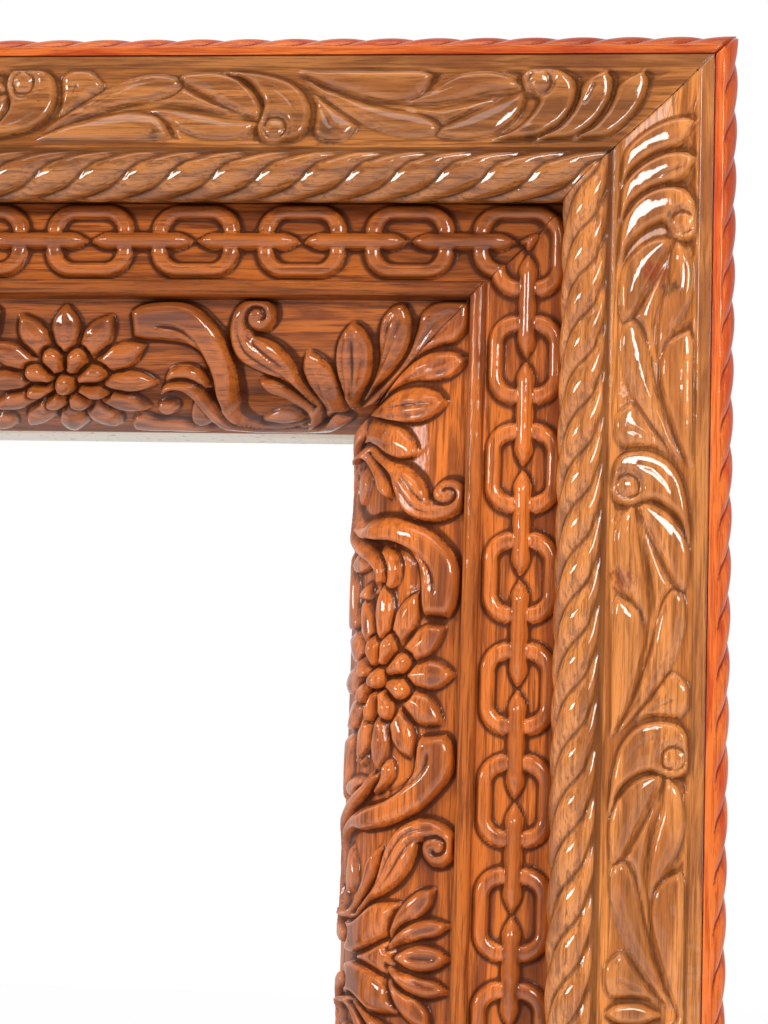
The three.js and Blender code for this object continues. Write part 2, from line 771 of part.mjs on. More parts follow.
for (const hanger of hangers) {
  const half = strapWidth / 2;
  const strip = [
    [hanger.x - half, hangerZ - eyeOuter * 0.4], [hanger.x + half, hangerZ - eyeOuter * 0.4],
    [hanger.x + half, hangerZ - strapLength + half], [hanger.x + half * 0.5, hangerZ - strapLength],
    [hanger.x - half * 0.5, hangerZ - strapLength], [hanger.x - half, hangerZ - strapLength + half],
  ];
  const barrel = eyeRoll(eyeOuter, hanger.x - half, hanger.x + half);
  const boreRadius = eyeRadius / Math.cos(Math.PI / eyeSides);
  const bore = eyeRoll(boreRadius, hanger.x - half - spare, hanger.x + half + spare);
  let strap = plate(strip, strapSeat, strapBack).add(barrel).subtract(bore);
  for (const z of strapScrews) {
    strap = strap.subtract(screwHole(hanger.x, z, strapSeat - spare, strapBack + spare));
  }
  addPiece(`strap_hanger_${hanger.side}`, strap, metal(colours.brassPlate));
  strapScrews.forEach((z, index) => {
    const name = `strap_screw_${hanger.side}_${index === 0 ? 'upper' : 'lower'}`;
    addPiece(name, screw(hanger.x, z, strapBack + glueGap), metal(colours.brassScrew));
  });

  // The ring is a D: a straight bar through the eye and a bow below it
  const loop = [-1, -0.35, 0.35, 1].map((share) => [hanger.x + ringHalfWidth * share, hangerZ]);
  for (let k = 1; k < ringSteps; k += 1) {
    const turn = Math.PI * k / ringSteps;
    loop.push([
      hanger.x + ringHalfWidth * Math.cos(turn) * 1.02,
      hangerZ - (ringDrop - ringWire) * Math.sin(turn) ** 0.8,
    ]);
  }
  const ring = loopTube(loop, eyeY, ringWire, roundSides);
  addPiece(`hanging_ring_${hanger.side}`, ring, metal(colours.brassPlate));
}

export default group;
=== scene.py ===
import math

import bpy
import numpy as np
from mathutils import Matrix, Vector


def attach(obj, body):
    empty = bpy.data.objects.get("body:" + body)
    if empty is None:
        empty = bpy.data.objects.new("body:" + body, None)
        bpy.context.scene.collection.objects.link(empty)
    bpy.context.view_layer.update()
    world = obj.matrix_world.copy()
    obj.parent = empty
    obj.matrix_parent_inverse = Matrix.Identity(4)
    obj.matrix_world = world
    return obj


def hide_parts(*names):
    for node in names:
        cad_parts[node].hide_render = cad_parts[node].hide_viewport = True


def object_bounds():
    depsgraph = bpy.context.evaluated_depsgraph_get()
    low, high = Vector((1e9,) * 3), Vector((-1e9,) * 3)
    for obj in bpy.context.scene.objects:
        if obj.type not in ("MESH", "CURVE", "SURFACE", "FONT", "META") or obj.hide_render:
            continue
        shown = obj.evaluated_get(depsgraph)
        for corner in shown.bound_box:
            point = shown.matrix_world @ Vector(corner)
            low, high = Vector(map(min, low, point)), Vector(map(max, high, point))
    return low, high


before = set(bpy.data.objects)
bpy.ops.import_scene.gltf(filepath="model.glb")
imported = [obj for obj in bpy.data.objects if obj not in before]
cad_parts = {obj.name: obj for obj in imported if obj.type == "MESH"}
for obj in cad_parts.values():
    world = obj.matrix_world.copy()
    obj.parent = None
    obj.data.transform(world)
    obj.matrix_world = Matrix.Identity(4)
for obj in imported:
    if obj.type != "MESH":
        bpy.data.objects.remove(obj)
cad_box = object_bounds()


# Outer boards
# Four mitred boards of brown hardwood carry the leaf carving and, inside it, a rope as thick as a thumb.
# Each is planed to its moulding first; leaves and rope are then cut into it with gouges, oiled and
# varnished until they shine.  Sizes are in millimetres: s runs along a board from its corner, w goes in
# from the outer edge, and d comes forward from the outer edge's front.  The sight opening and the width of
# the face set the boards' lengths.

SIGHT_WIDTH = 462.0
SIGHT_HEIGHT = 427.0
SIGHT_EDGE = 144.5
BOARD_WIDTH = SIGHT_WIDTH + 2 * SIGHT_EDGE
BOARD_HEIGHT = SIGHT_HEIGHT + 2 * SIGHT_EDGE
BOARD_TOP = 20.0
FRONT_DEPTH = 96.0
MITRE_GAP = 0.15
OUTER_BACK = -46.0

FILLET_WIDTH = 5.7
LEAF_START = 6.3
LEAF_END = 34.5
COVE_BACK = -1.4
COVE_LIP = 1.8
ROPE_FOOT = (40.4, 2.7)
ROPE_END = (56.5, -12.0)
ROPE_BULGE = 9.5
ROPE_PITCH = 18.2
ROPE_DEPTH = 3.0
ACROSS_STEP = 0.74
OUTER_ROW_STEP = 0.92

# No two planks are equally dark: partly each plank's own tone, and the top board's low value is partly
# painted shade for the less light it gets
BOARD_TONE_AND_SHADE = {"top": 0.68, "right": 1.0, "bottom": 0.78, "left": 0.90}
OUTER_WOOD = {"light": (0.71, 0.250, 0.060), "middle": (0.39, 0.118, 0.024), "dark": (0.085, 0.027, 0.010)}
KNOTS = {
    "right": ((89.5, 22.0, 7.0, (0.24, 0.030, 0.008)), (95.5, 15.5, 4.0, (0.030, 0.014, 0.010)),
              (211.0, 33.0, 6.5, (0.20, 0.026, 0.007))),
    "top": ((72.0, 34.0, 5.0, (0.07, 0.022, 0.010)), (154.0, 32.0, 8.0, (0.10, 0.035, 0.014)),
            (224.0, 33.0, 4.0, (0.05, 0.017, 0.008))),
}
BARE_WOOD = {"light": (0.70, 0.52, 0.32), "middle": (0.52, 0.34, 0.18), "dark": (0.26, 0.14, 0.07)}
FILLER_TONE = (0.010, 0.008, 0.008)
# The grey film towards the sight edge is partly dust and partly painted reflection: the milky sheen of faces
# turned to the opening
DUST_AND_SHEEN_TONE = (0.62, 0.60, 0.58)
DUST_AND_SHEEN_SHARE = 0.10


def smooth_line(points, closed=False, steps=7):
    """A line that bends evenly through the points: between two neighbours it is the cubic whose slope at
    each of them is half the step between the points on either side.  A point given twice stays sharp."""
    given = np.asarray(points, float)
    if closed:
        ring = np.vstack([given[-1:], given, given[:2]])
    else:
        ring = np.vstack([2 * given[0] - given[1], given, 2 * given[-1] - given[-2]])
    before, here, after, beyond = ring[:-3, None], ring[1:-2, None], ring[2:-1, None], ring[3:, None]
    t = np.linspace(0, 1, steps, endpoint=False)[None, :, None]
    curve = 0.5 * (
        2 * here
        + (after - before) * t
        + (2 * before - 5 * here + 4 * after - beyond) * t**2
        + (3 * here - before - 3 * after + beyond) * t**3
    )
    curve = curve.reshape(-1, 2)
    last = curve[:1] if closed else given[-1:]
    return np.vstack([curve, last])


def nearest(line, s, q):
    """For every point of the chart, its distance from the line and how far along the line its nearest
    point lies, from 0 at the start to 1 at the end: the foot of the perpendicular on each stretch."""
    start = line[:-1]
    step = line[1:] - start
    length = np.maximum((step**2).sum(1), 1e-9)
    ds = s[..., None] - start[:, 0]
    dq = q[..., None] - start[:, 1]
    t = np.clip((ds * step[:, 0] + dq * step[:, 1]) / length, 0, 1)
    gap = np.hypot(ds - t * step[:, 0], dq - t * step[:, 1])
    stretch = gap.argmin(-1)[..., None]
    along = (stretch + np.take_along_axis(t, stretch, -1))[..., 0] / len(start)
    return np.take_along_axis(gap, stretch, -1)[..., 0], along


def encloses(line, s, q):
    """True for the chart's points inside a closed line: a ray from them crosses it an odd number of times."""
    s0, q0 = line[:-1, 0], line[:-1, 1]
    s1, q1 = line[1:, 0], line[1:, 1]
    rise = np.where(q1 == q0, 1e-9, q1 - q0)
    spans = (q0 > q[..., None]) != (q1 > q[..., None])
    crossing = s0 + (q[..., None] - q0) * (s1 - s0) / rise
    return ((spans & (s[..., None] < crossing)).sum(-1) % 2) == 1


def circle(middle, radius, count=12):
    """Points evenly round a circle."""
    turn = np.linspace(0, 2 * np.pi, count, endpoint=False)
    return np.asarray(middle) + radius * np.stack([np.cos(turn), np.sin(turn)], 1)


def way_along(points):
    """How far along a line each of its points lies."""
    return np.concatenate([[0], np.cumsum(np.hypot(*np.diff(points, axis=0).T))])


WALL = 2.1
WALL_SHARE = 0.55
FLAT_SHARE = 0.85


class Carving:
    """A chart of carved heights over a stretch of moulding, s along it and q across it."""

    def __init__(self, start, end, width, pitch=0.45):
        self.start = start
        self.pitch = pitch
        along = np.arange(start, end + pitch, pitch)
        across = np.arange(-2.0, width + 2 * pitch, pitch)
        self.s, self.q = np.meshgrid(along, across, indexing="ij")
        self.height = np.zeros_like(self.s)

    def window(self, line, margin):
        """The part of the chart that holds the line and a margin around it."""
        low = line.min(0) - margin
        high = line.max(0) + margin
        rows = slice(
            max(int((low[0] - self.start) / self.pitch), 0),
            max(int((high[0] - self.start) / self.pitch) + 2, 0),
        )
        columns = slice(
            max(int((low[1] + 2) / self.pitch), 0),
            max(int((high[1] + 2) / self.pitch) + 2, 0),
        )
        return rows, columns

    def form(self, outline, height, edge, swell="round", undercut=0.7, rim=1.3):
        """A form inside the outline, height high.  A round one rises to its middle like a quarter of an
        ellipse, edge wide.  A soft one has a short steep wall, a parabola one WALL wide, and then a gentle
        dome, a parabola one edge wide; a flat one has more wall and less dome; a roof has straight slopes
        over the same wall, up to a ridge.  Just outside the outline what was there is cut down by the
        undercut share, and under the form it dies away."""
        line = smooth_line(outline, closed=True)
        box = self.window(line, rim)
        s, q, old = self.s[box], self.q[box], self.height[box]
        if old.size == 0:
            return
        gap, _ = nearest(line, s, q)
        inside = encloses(line, s, q)
        depth = np.where(inside, gap, -gap)
        x = np.clip(depth / edge, 0, 1)
        if swell == "round":
            rise = np.sqrt(1 - (1 - x) ** 2)
        else:
            wall = np.clip(depth / min(WALL, edge), 0, 1)
            top = x if swell == "roof" else 1 - (1 - x) ** 2
            share = FLAT_SHARE if swell == "flat" else WALL_SHARE
            rise = share * (1 - (1 - wall) ** 2) + (1 - share) * top
        outside = np.clip(-depth / rim, 0, 1)
        buried = np.clip(1 - depth / rim, 0, 1) * (1 - undercut)
        under = np.where(inside, buried, 1 - undercut * (1 - outside))
        self.height[box] = np.maximum(old * under, height * rise)

    def pit(self, outline, depth, edge):
        """Ground cut away inside the outline, deepest edge or more from it."""
        line = smooth_line(outline, closed=True)
        box = self.window(line, 1.0)
        s, q = self.s[box], self.q[box]
        if s.size == 0:
            return
        gap, _ = nearest(line, s, q)
        x = np.clip(np.where(encloses(line, s, q), gap, 0) / edge, 0, 1)
        self.height[box] -= depth * np.sqrt(x)

    def groove(self, points, width, depth, fade=0.25):
        """A groove along a line, round at the bottom, running out to nothing over the fade share of its
        length at each end.  A negative depth raises a bead."""
        line = smooth_line(points)
        box = self.window(line, width)
        s, q = self.s[box], self.q[box]
        if s.size == 0:
            return
        gap, along = nearest(line, s, q)
        swing = 0.5 + 0.5 * np.cos(np.pi * np.clip(2 * gap / width, 0, 1))
        taper = np.clip(np.minimum(along, 1 - along) / max(fade, 1e-3), 0, 1)
        self.height[box] -= depth * swing * np.sqrt(taper)

    def at(self, s, q):
        """Heights read off the chart between its points, weighted by nearness."""
        i = np.clip((s - self.start) / self.pitch, 0, self.s.shape[0] - 1.001)
        j = np.clip((q + 2.0) / self.pitch, 0, self.s.shape[1] - 1.001)
        i0, j0 = i.astype(int), j.astype(int)
        fi, fj = i - i0, j - j0
        h = self.height
        near = h[i0, j0] * (1 - fi) + h[i0 + 1, j0] * fi
        far = h[i0, j0 + 1] * (1 - fi) + h[i0 + 1, j0 + 1] * fi
        return near * (1 - fj) + far * fj


# Leaf carving: one scroll of leaves runs from the corner to the middle of a board.  Every half turn holds
# a curl with an eye, a large lobe round it, and three leaves behind; x counts from the eye along the
# board and y from the side on which the curl lies.

LEAF_BAND = 29.8
LEAF_HALF = 376.0
EYE = (0.0, 5.2)
EYE_RADIUS = 5.4
CURLS = ((69.0, "outer"), (174.8, "inner"), (279.5, "outer"), (386.0, "inner"))

BIG_LOBE = [
    (-8, -0.5), (-12.5, 2.5), (-14.3, 7), (-14.5, 13), (-12.3, 19), (-8, 23.5), (-2, 26.5), (6, 28.4),
    (14, 29.2), (23, 29.4), (15, 26.5), (10.5, 23.2), (7.2, 19.3), (5.4, 15), (6.2, 10), (7.3, 5), (5, 0),
    (0, -1.5),
]
SECOND_LOBE = [
    (5.6, 11), (6, 15.5), (8, 19.5), (11.5, 23.5), (17, 27.4), (24, 29.2), (31, 29.4), (40, 28),
    (38.5, 23.8), (38.5, 23.8), (31, 20.2), (24, 16.3), (15, 12), (8, 9.3),
]
UPPER_LEAF = [
    (8, 8), (9, 4.5), (13, 2), (21, 0.5), (31, 1.4), (38, 4.2), (44, 8), (52, 10.8), (58, 11.2), (58, 11.2),
    (50, 14.4), (41, 14.2), (31, 12.6), (20, 9.8),
]
MIDDLE_LEAF = [
    (8, 9), (18, 11.2), (30, 14.2), (42, 16), (55, 15.8), (52, 17.2), (46, 18.4), (42, 20.4), (38.3, 23.3),
    (38.3, 23.3), (30, 19.2), (22, 15.3), (14, 11.8),
]
FAR_LEAF = [
    (38.5, 24), (38.5, 24), (42, 20.8), (49, 18), (60, 15.8), (72, 12.4), (84, 8), (95, 3.5), (89, 9.5),
    (81, 15.2), (72, 20.8), (62, 25.4), (51, 28), (42, 27.6),
]
NEAR_LEAF = [
    (42, 1.5), (42, 1.5), (50, 0.2), (62, 0.2), (75, 0), (90, 0), (98, 0.4), (88, 6), (78, 9.4),
    (66, 12.6), (58, 13.2), (50, 11.8), (45.5, 8),
]
SMALL_LEAF = [
    (-33, 7), (-31.5, 3), (-27.5, -0.2), (-21, -0.6), (-16, 2.4), (-15.8, 8), (-16, 14), (-14.5, 20.5),
    (-14.5, 20.5), (-19, 17.6), (-25, 13),
]
STEM_LINES = (
    [(8, 10.8), (16, 14), (24.5, 18), (31, 21.4)],
    [(8, 8.6), (16.5, 11.6), (26, 16.2), (33, 20.2), (38, 23)],
)
RIB_LINES = (
    [(14, 7.4), (23, 9.6), (33, 12.2), (45, 14.2), (58, 13.7), (70, 10.7), (80, 7.4), (90, 4.4)],
    [(18, 10.2), (28, 12.6), (38, 15), (48, 16.2), (60, 15.4), (72, 12.2), (82, 8.6)],
)
RIDGE_LINE = [(44, 28), (54, 27.4), (64, 24.8), (73, 20.2), (81, 15), (88, 9.8), (95, 4.6)]
RIDGE_SHADOW = [(50, 25.8), (60, 23.8), (70, 19.4), (78, 14.2), (85, 9.4), (91, 5)]
LEAF_LINE = [(14, 4.8), (22, 3.8), (30, 5), (38, 8), (46, 10.8)]
LONG_LINE = [(56, 4), (66, 3.8), (76, 4.4), (86, 3.6)]
SMALL_LEAF_RIB = [(-17.8, 15), (-20.5, 10), (-22.6, 5)]
LOBE_LINE = [(-8.5, 8.5), (-6.8, 15), (-1, 20.6), (8, 24.6)]
EYE_SPIRAL = [
    (7.5, 4), (6, -0.5), (1, -2), (-5, 0), (-6.5, 5), (-4.5, 9.8), (0.5, 11.4), (3.5, 9), (3.4, 6),
    (1.2, 4.6),
]
LOBE_PITS = (
    [(38, 0.4), (38, 0.4), (43, 0.2), (47, -0.2), (43.8, 2), (45.5, 8.5), (45.5, 8.5), (40.8, 4.6)],
    [(8.5, 6), (8.5, 6), (9.8, 2.6), (14, 0.4), (8, -0.4), (6.4, 1.6)],
)

CORNER_LOBES = (
    [(27.5, 6.8), (27.5, 6.8), (34, 9.5), (38.2, 13.5), (39.8, 18.5), (43, 25), (48, 31), (56, 35.6),
     (48, 35.8), (41, 34.6), (34.5, 29.5), (29.5, 23), (26.6, 16.5), (25.8, 11)],
    [(42.5, 6.4), (42.5, 6.4), (49, 9.6), (52.6, 13.6), (53.6, 18.5), (56.5, 25), (61.5, 31), (70, 35.8),
     (61, 36), (54, 34.8), (47.5, 29.8), (42.5, 23), (40, 16.5), (40.2, 10.5)],
)
CURL_LOBE = [
    (76.5, 9), (72, 6), (66, 5.4), (60, 7), (55.5, 10.5), (54, 15), (54.8, 21), (58, 27), (63.5, 32),
    (72, 35.6), (88, 36.2), (80.5, 32.8), (74.5, 28), (70.5, 22.5), (69.5, 18.6), (74.6, 14.5),
]
CORNER_PITS = (
    [(15, 6.6), (15, 6.6), (21, 6.4), (27.5, 6.6), (25.8, 11), (25.6, 13), (24.4, 10.6), (20, 8.6)],
    [(29.5, 6.6), (29.5, 6.6), (36, 6.4), (42, 6.5), (40, 10.5), (39.9, 18), (39.9, 18), (38, 12), (34, 8.8)],
    [(44.5, 6.6), (44.5, 6.6), (52, 6.4), (60, 6.6), (55, 10), (53.6, 18), (53.6, 18), (52, 12), (49, 9)],
)


def leaf_carving():
    """The leaf scroll from the corner to the middle of a board, as heights over the plain cove."""
    cut = Carving(0, LEAF_HALF + 4, 38.0)

    def placed(points, eye_s, side):
        """Points of a half turn put on the board: the outer curls count w from the outer edge of the band,
        the inner ones from its inner edge."""
        x, y = np.asarray(points, float).T
        w = LEAF_START + y if side == "outer" else LEAF_START + LEAF_BAND - y
        return np.stack([eye_s + x, w], 1)

    for eye_s, side in CURLS:
        corner = eye_s == CURLS[0][0]
        for outline, height, edge in (
            (UPPER_LEAF, 2.9, 6.0), (MIDDLE_LEAF, 2.3, 4.0), (NEAR_LEAF, 3.1, 6.5), (FAR_LEAF, 3.0, 6.0),
            (SECOND_LOBE, 3.6, 7.5),
        ):
            cut.form(placed(outline, eye_s, side), height, edge, "soft", rim=1.0)
        if corner:
            for outline in CORNER_LOBES:
                cut.form(outline, 4.6, 8.0, "flat", rim=1.0)
            cut.form(CURL_LOBE, 4.8, 9.0, "flat", rim=1.0)
            for outline in CORNER_PITS:
                cut.pit(outline, 1.8, 2.2)
        else:
            cut.form(placed(SMALL_LEAF, eye_s, side), 3.2, 6.5, "soft", rim=1.0)
            cut.form(placed(BIG_LOBE, eye_s, side), 5.0, 9.5, "flat", rim=1.0)
            cut.groove(placed(LOBE_LINE, eye_s, side), 3.0, 0.5)
        for outline in LOBE_PITS:
            cut.pit(placed(outline, eye_s, side), 1.5, 1.6)
        eye = placed([EYE], eye_s, side)[0]
        cut.form(circle(eye, EYE_RADIUS), 3.4, EYE_RADIUS, "soft", undercut=0.25)
        for line in STEM_LINES:
            cut.groove(placed(line, eye_s, side), 2.2, 0.7)
        for line in RIB_LINES:
            cut.groove(placed(line, eye_s, side), 2.2, 0.55)
        for line, width, depth in (
            (SMALL_LEAF_RIB, 2.4, 0.8), (LEAF_LINE, 2.0, 0.35), (LONG_LINE, 2.0, 0.3),
            (RIDGE_LINE, 2.4, -0.9), (RIDGE_SHADOW, 2.2, 0.5), (EYE_SPIRAL, 1.8, 0.9),
        ):
            cut.groove(placed(line, eye_s, side), width, depth, fade=0.12)
    return cut


def leaf_height(s, w, rail_length):
    """Leaf heights on a whole board.  The chart counts from the first corner; where it ends, the rest of
    the board reads it backwards from the other corner, drawn together if the board is short."""
    rest = rail_length - LEAF_HALF
    chart_s = np.where(s <= LEAF_HALF, s, (rail_length - s) * LEAF_HALF / rest)
    fade = np.clip((w - FILLET_WIDTH) / 1.0, 0, 1) * np.clip((37.3 - w) / 1.6, 0, 1)
    return LEAVES.at(chart_s, w) * fade


ROPE_LEAN_AT = (0.0, 0.06, 0.16, 0.30, 0.40, 0.57, 0.77, 1.0)
ROPE_LEAN = (-3.0, 0.5, 8.0, 13.0, 15.5, 21.0, 31.0, 46.0)
ROPE_START = 3.0


def rope_phase(s, around):
    """Turns of the rope's twist up to a place; its grooves lie where this is a whole number."""
    return (s - np.interp(around, ROPE_LEAN_AT, ROPE_LEAN) - ROPE_START) / ROPE_PITCH


def rope_height(s, around, rail_length):
    """Depth of the rope's grooves.  They cross it in an S, steep over the crest and drawn out at both
    sides, and each strand between two of them is round.  around is the share of the way over the rope."""
    strand = np.sqrt(np.sin(np.pi * rope_phase(s, around)) ** 2 + 0.012)
    ends = np.clip(around / 0.14, 0, 1) * np.clip((1 - around) / 0.05, 0, 1)
    return -ROPE_DEPTH * (1.0 - np.minimum(strand, 1) ** 0.75) * np.sqrt(ends)


def stations(points, spacing):
    """The points and, between each two, as many more as keep steps at most spacing long."""
    points = np.asarray(points, float)
    runs = []
    for a, b in zip(points[:-1], points[1:]):
        count = max(int(np.ceil(np.hypot(*(b - a)) / spacing)), 1)
        runs.append(a + (b - a) * np.linspace(0, 1, count, endpoint=False)[:, None])
    return np.vstack(runs + [points[-1:]])


def normals(points):
    """Outward directions of a run of section points: a quarter turn to the left of the way it runs."""
    way = np.gradient(points, axis=0)
    way /= np.maximum(np.hypot(way[:, 0], way[:, 1])[:, None], 1e-9)
    return np.stack([-way[:, 1], way[:, 0]], 1)


def place_on_rail(side, s, w, d):
    """Board measures turned into the frame's own x, y and z, in metres."""
    y = -(FRONT_DEPTH + d)
    half = BOARD_WIDTH / 2
    bottom = BOARD_TOP - BOARD_HEIGHT
    x, z = {
        "top": (half - s, BOARD_TOP - w),
        "right": (half - w, BOARD_TOP - s),
        "bottom": (s - half, bottom + w),
        "left": (w - half, bottom + s),
    }[side]
    return np.stack([x, y, z], -1) / 1000.0


def in_scene(name, data):
    """An object that holds the data, added to the scene."""
    made = bpy.data.objects.new(name, data)
    bpy.context.scene.collection.objects.link(made)
    return made


def mesh_piece(name, points, quads, triangles, attributes):
    """One closed mesh.  Its faces are turned outward by the sign of the volume that they enclose."""
    faces = [tuple(row) for row in quads.tolist()] + [tuple(row) for row in triangles.tolist()]
    both = np.vstack([quads[:, [0, 1, 2]], quads[:, [0, 2, 3]], triangles.reshape(-1, 3)])
    a, b, c = points[both[:, 0]], points[both[:, 1]], points[both[:, 2]]
    if np.einsum("ij,ij->i", a, np.cross(b, c)).sum() < 0:
        faces = [face[::-1] for face in faces]
    mesh = bpy.data.meshes.new(name)
    mesh.from_pydata(points.tolist(), [], faces)
    for key, values in attributes.items():
        if values.ndim == 2:
            mesh.attributes.new(key, "FLOAT_VECTOR", "POINT").data.foreach_set("vector", values.ravel())
        else:
            mesh.attributes.new(key, "FLOAT", "POINT").data.foreach_set("value", values)
    mesh.shade_smooth()
    mesh.update()
    return in_scene(name, mesh)


def rail_piece(name, side, runs, step, gap):
    """A moulding with mitred ends.  Its section is swept along the board in rows of equal share from
    mitre to mitre; each point then moves out along the section's normal by the height carved there, and
    along the board so that the ends stay in the mitre.  Each run is a dict: points (w, d), out (their
    normals), carve (a function of s, across and the board's length), across (what it takes for each
    point), ground (a function of the height: tool marks from 0 to 1) and dip (a function of s and
    across: extra hollowness, in millimetres, where stain gathers in the moulding itself and where its
    grooves and valleys get painted shade)."""
    length = BOARD_WIDTH if side in ("top", "bottom") else BOARD_HEIGHT
    w = np.concatenate([run["points"][:, 0] for run in runs])
    d = np.concatenate([run["points"][:, 1] for run in runs])
    count = int(length / step)
    u = np.linspace(-1, 1, count)[:, None]
    half = length / 2
    wide_w, wide_d, height, marks, dips = [], [], [], [], []
    for run in runs:
        rw, rd = run["points"].T
        s = half + u * (half - rw - gap)
        carved = np.zeros_like(s)
        if run.get("carve"):
            carved = run["carve"](s, run["across"][None, :] + 0 * s, length)
        out = run["out"]
        wide_w.append(rw + out[:, 0] * carved)
        wide_d.append(rd + out[:, 1] * carved)
        height.append(carved)
        marks.append(run["ground"](carved) if run.get("ground") else 0 * carved)
        dips.append(run["dip"](s, run["across"][None, :] + 0 * s) if run.get("dip") else 0 * carved)
    wide_w, wide_d = np.hstack(wide_w), np.hstack(wide_d)
    height, marks = np.hstack(height), np.hstack(marks)
    s = half + u * (half - wide_w - gap)
    points = place_on_rail(side, s, wide_w, wide_d).reshape(-1, 3)
    rows, columns = s.shape
    index = np.arange(rows * columns).reshape(rows, columns)
    ahead = np.roll(index, -1, axis=1)
    quads = np.stack([index[:-1], ahead[:-1], ahead[1:], index[1:]], -1).reshape(-1, 4)
    middle = np.array([w.mean(), d.mean()])
    caps, hubs = [], []
    for row, number in ((0, rows * columns), (rows - 1, rows * columns + 1)):
        end_s = half + u[row, 0] * (half - middle[0] - gap)
        hubs.append(place_on_rail(side, np.array(end_s), np.array(middle[0]), np.array(middle[1])))
        around, beyond = (index[row], ahead[row]) if row else (ahead[row], index[row])
        caps.append(np.stack([around, beyond, np.full(columns, number)], -1))
    points = np.vstack([points, np.array(hubs)])
    seam = np.minimum(s - wide_w, length - s - wide_w) + 0 * s
    hollow = hollows(height) + np.hstack(dips)
    steep = np.hypot(np.gradient(height, axis=0) / step, np.gradient(height, axis=1) / ACROSS_STEP)
    pad = np.zeros(2)
    plank = np.stack([s, wide_w, wide_d], -1).reshape(-1, 3) / 1000.0
    return mesh_piece(name, points, quads, np.vstack(caps), {
        "plank": np.vstack([plank, np.zeros((2, 3))]),
        "hollow": np.concatenate([hollow.ravel(), pad]),
        "ground": np.concatenate([marks.ravel(), pad]),
        "seam": np.concatenate([seam.ravel(), pad]),
        "steep": np.concatenate([steep.ravel(), pad]),
    })


def hollows(height):
    """How far each point lies below its neighbourhood, in millimetres: the mean height of the points up to
    two steps away on all sides, less its own."""
    padded = np.pad(height, 2, mode="edge")
    total = np.zeros_like(height)
    rows, columns = height.shape
    for i in range(5):
        for j in range(5):
            total += padded[i:i + rows, j:j + columns]
    return total / 25 - height


def section_run(points, out=None, **rest):
    """One run of a section.  Without directions to be carved along, its points stay where they are."""
    return {"points": points, "out": np.zeros_like(points) if out is None else out, **rest}


def forward(points):
    """Directions straight out of the front, one for each point."""
    return np.tile((0.0, 1.0), (len(points), 1))


def uncarved(carved):
    """1 on the floor between the forms, falling to nothing over the lowest part of their sides."""
    return np.clip(1 - carved / 0.6, 0, 1)


def groove_line(phase):
    """How near a place is to the bottom of a rope's groove, where the phase is a whole number: 1 in it,
    and nothing from a small part of a turn on."""
    return np.clip(1 - np.abs(np.sin(np.pi * phase)) / 0.17, 0, 1)


def fillet_dip(s, w):
    """The flat fillet took more stain than the carving, and its outer edge is nearly black."""
    return 0.3 + 0.6 * (w < 0.2)


def cove_dip(s, w):
    """Darker in the valley where the cove meets the rope, and along the step below the fillet: partly stain
    gathered there, partly painted shade in these creases.
    """
    return 0.9 * np.clip((w - 38.4) / 0.8, 0, 1) + 0.45 * np.clip((6.2 - w) / 0.8, 0, 1)


def rope_dip(s, around):
    """Stain over the whole rope, and a dark line in each groove and along the rope's foot, partly stain and
    partly painted shade.
    """
    return 0.18 + 0.45 * groove_line(rope_phase(s, around)) + 0.8 * np.clip(1 - around / 0.05, 0, 1)


def scraped_cove(carved):
    """Between the leaves the cove's ground keeps most of the gouge's marks."""
    return 0.8 * uncarved(carved)


def leaf_board_runs():
    """The closed section of an outer board, from its back outer corner round the front and back again."""
    side_points = stations([(0, OUTER_BACK), (0, -0.3), (0, -0.12)], 9.0)
    fillet = stations([(0.03, -0.03), (0.12, 0), (0.26, 0), (FILLET_WIDTH - 0.9, 0)], 1.3)
    cove = smooth_line([(FILLET_WIDTH - 0.7, -0.02), (LEAF_START + 0.6, -0.3), (10, -1.0), (14, COVE_BACK),
                        (19, -1.1), (26, 0.1), (31, 1.1), (LEAF_END, COVE_LIP), (37, 1.9),
                        (39, 1.95), (ROPE_FOOT[0] - 0.1, 2.5)])
    cove = evenly(cove, ACROSS_STEP)
    chord = np.array(ROPE_END) - np.array(ROPE_FOOT)
    angle = np.linspace(0, np.pi, 40)
    across = (1 - np.cos(angle)) / 2
    outward = np.array([-chord[1], chord[0]]) / np.hypot(*chord)
    bulge = ROPE_BULGE * np.sin(angle)[:, None] ** 0.85
    rope = np.array(ROPE_FOOT) + across[:, None] * chord + bulge * outward
    rope = evenly(rope, ACROSS_STEP)
    back = stations([(ROPE_END[0], ROPE_END[1] - 0.5), (ROPE_END[0], OUTER_BACK), (5, OUTER_BACK)], 9.0)
    around = np.linspace(0, 1, len(rope))
    return [
        section_run(side_points),
        section_run(fillet, across=fillet[:, 0], dip=fillet_dip),
        section_run(cove, forward(cove), carve=leaf_height, across=cove[:, 0], dip=cove_dip,
                    ground=scraped_cove),
        section_run(rope, normals(rope), carve=rope_height, across=around, dip=rope_dip),
        section_run(back),
    ]


def evenly(points, spacing):
    """The same line with its points at equal steps, close to spacing."""
    reach = way_along(points)
    count = int(round(reach[-1] / spacing)) + 1
    mark = np.linspace(0, reach[-1], count)
    return np.stack([np.interp(mark, reach, points[:, 0]), np.interp(mark, reach, points[:, 1])], 1)


def join(tree, value, socket):
    """A link if the value is another node's output, or else the socket's own value."""
    if isinstance(value, bpy.types.NodeSocket):
        tree.links.new(value, socket)
    else:
        socket.default_value = value


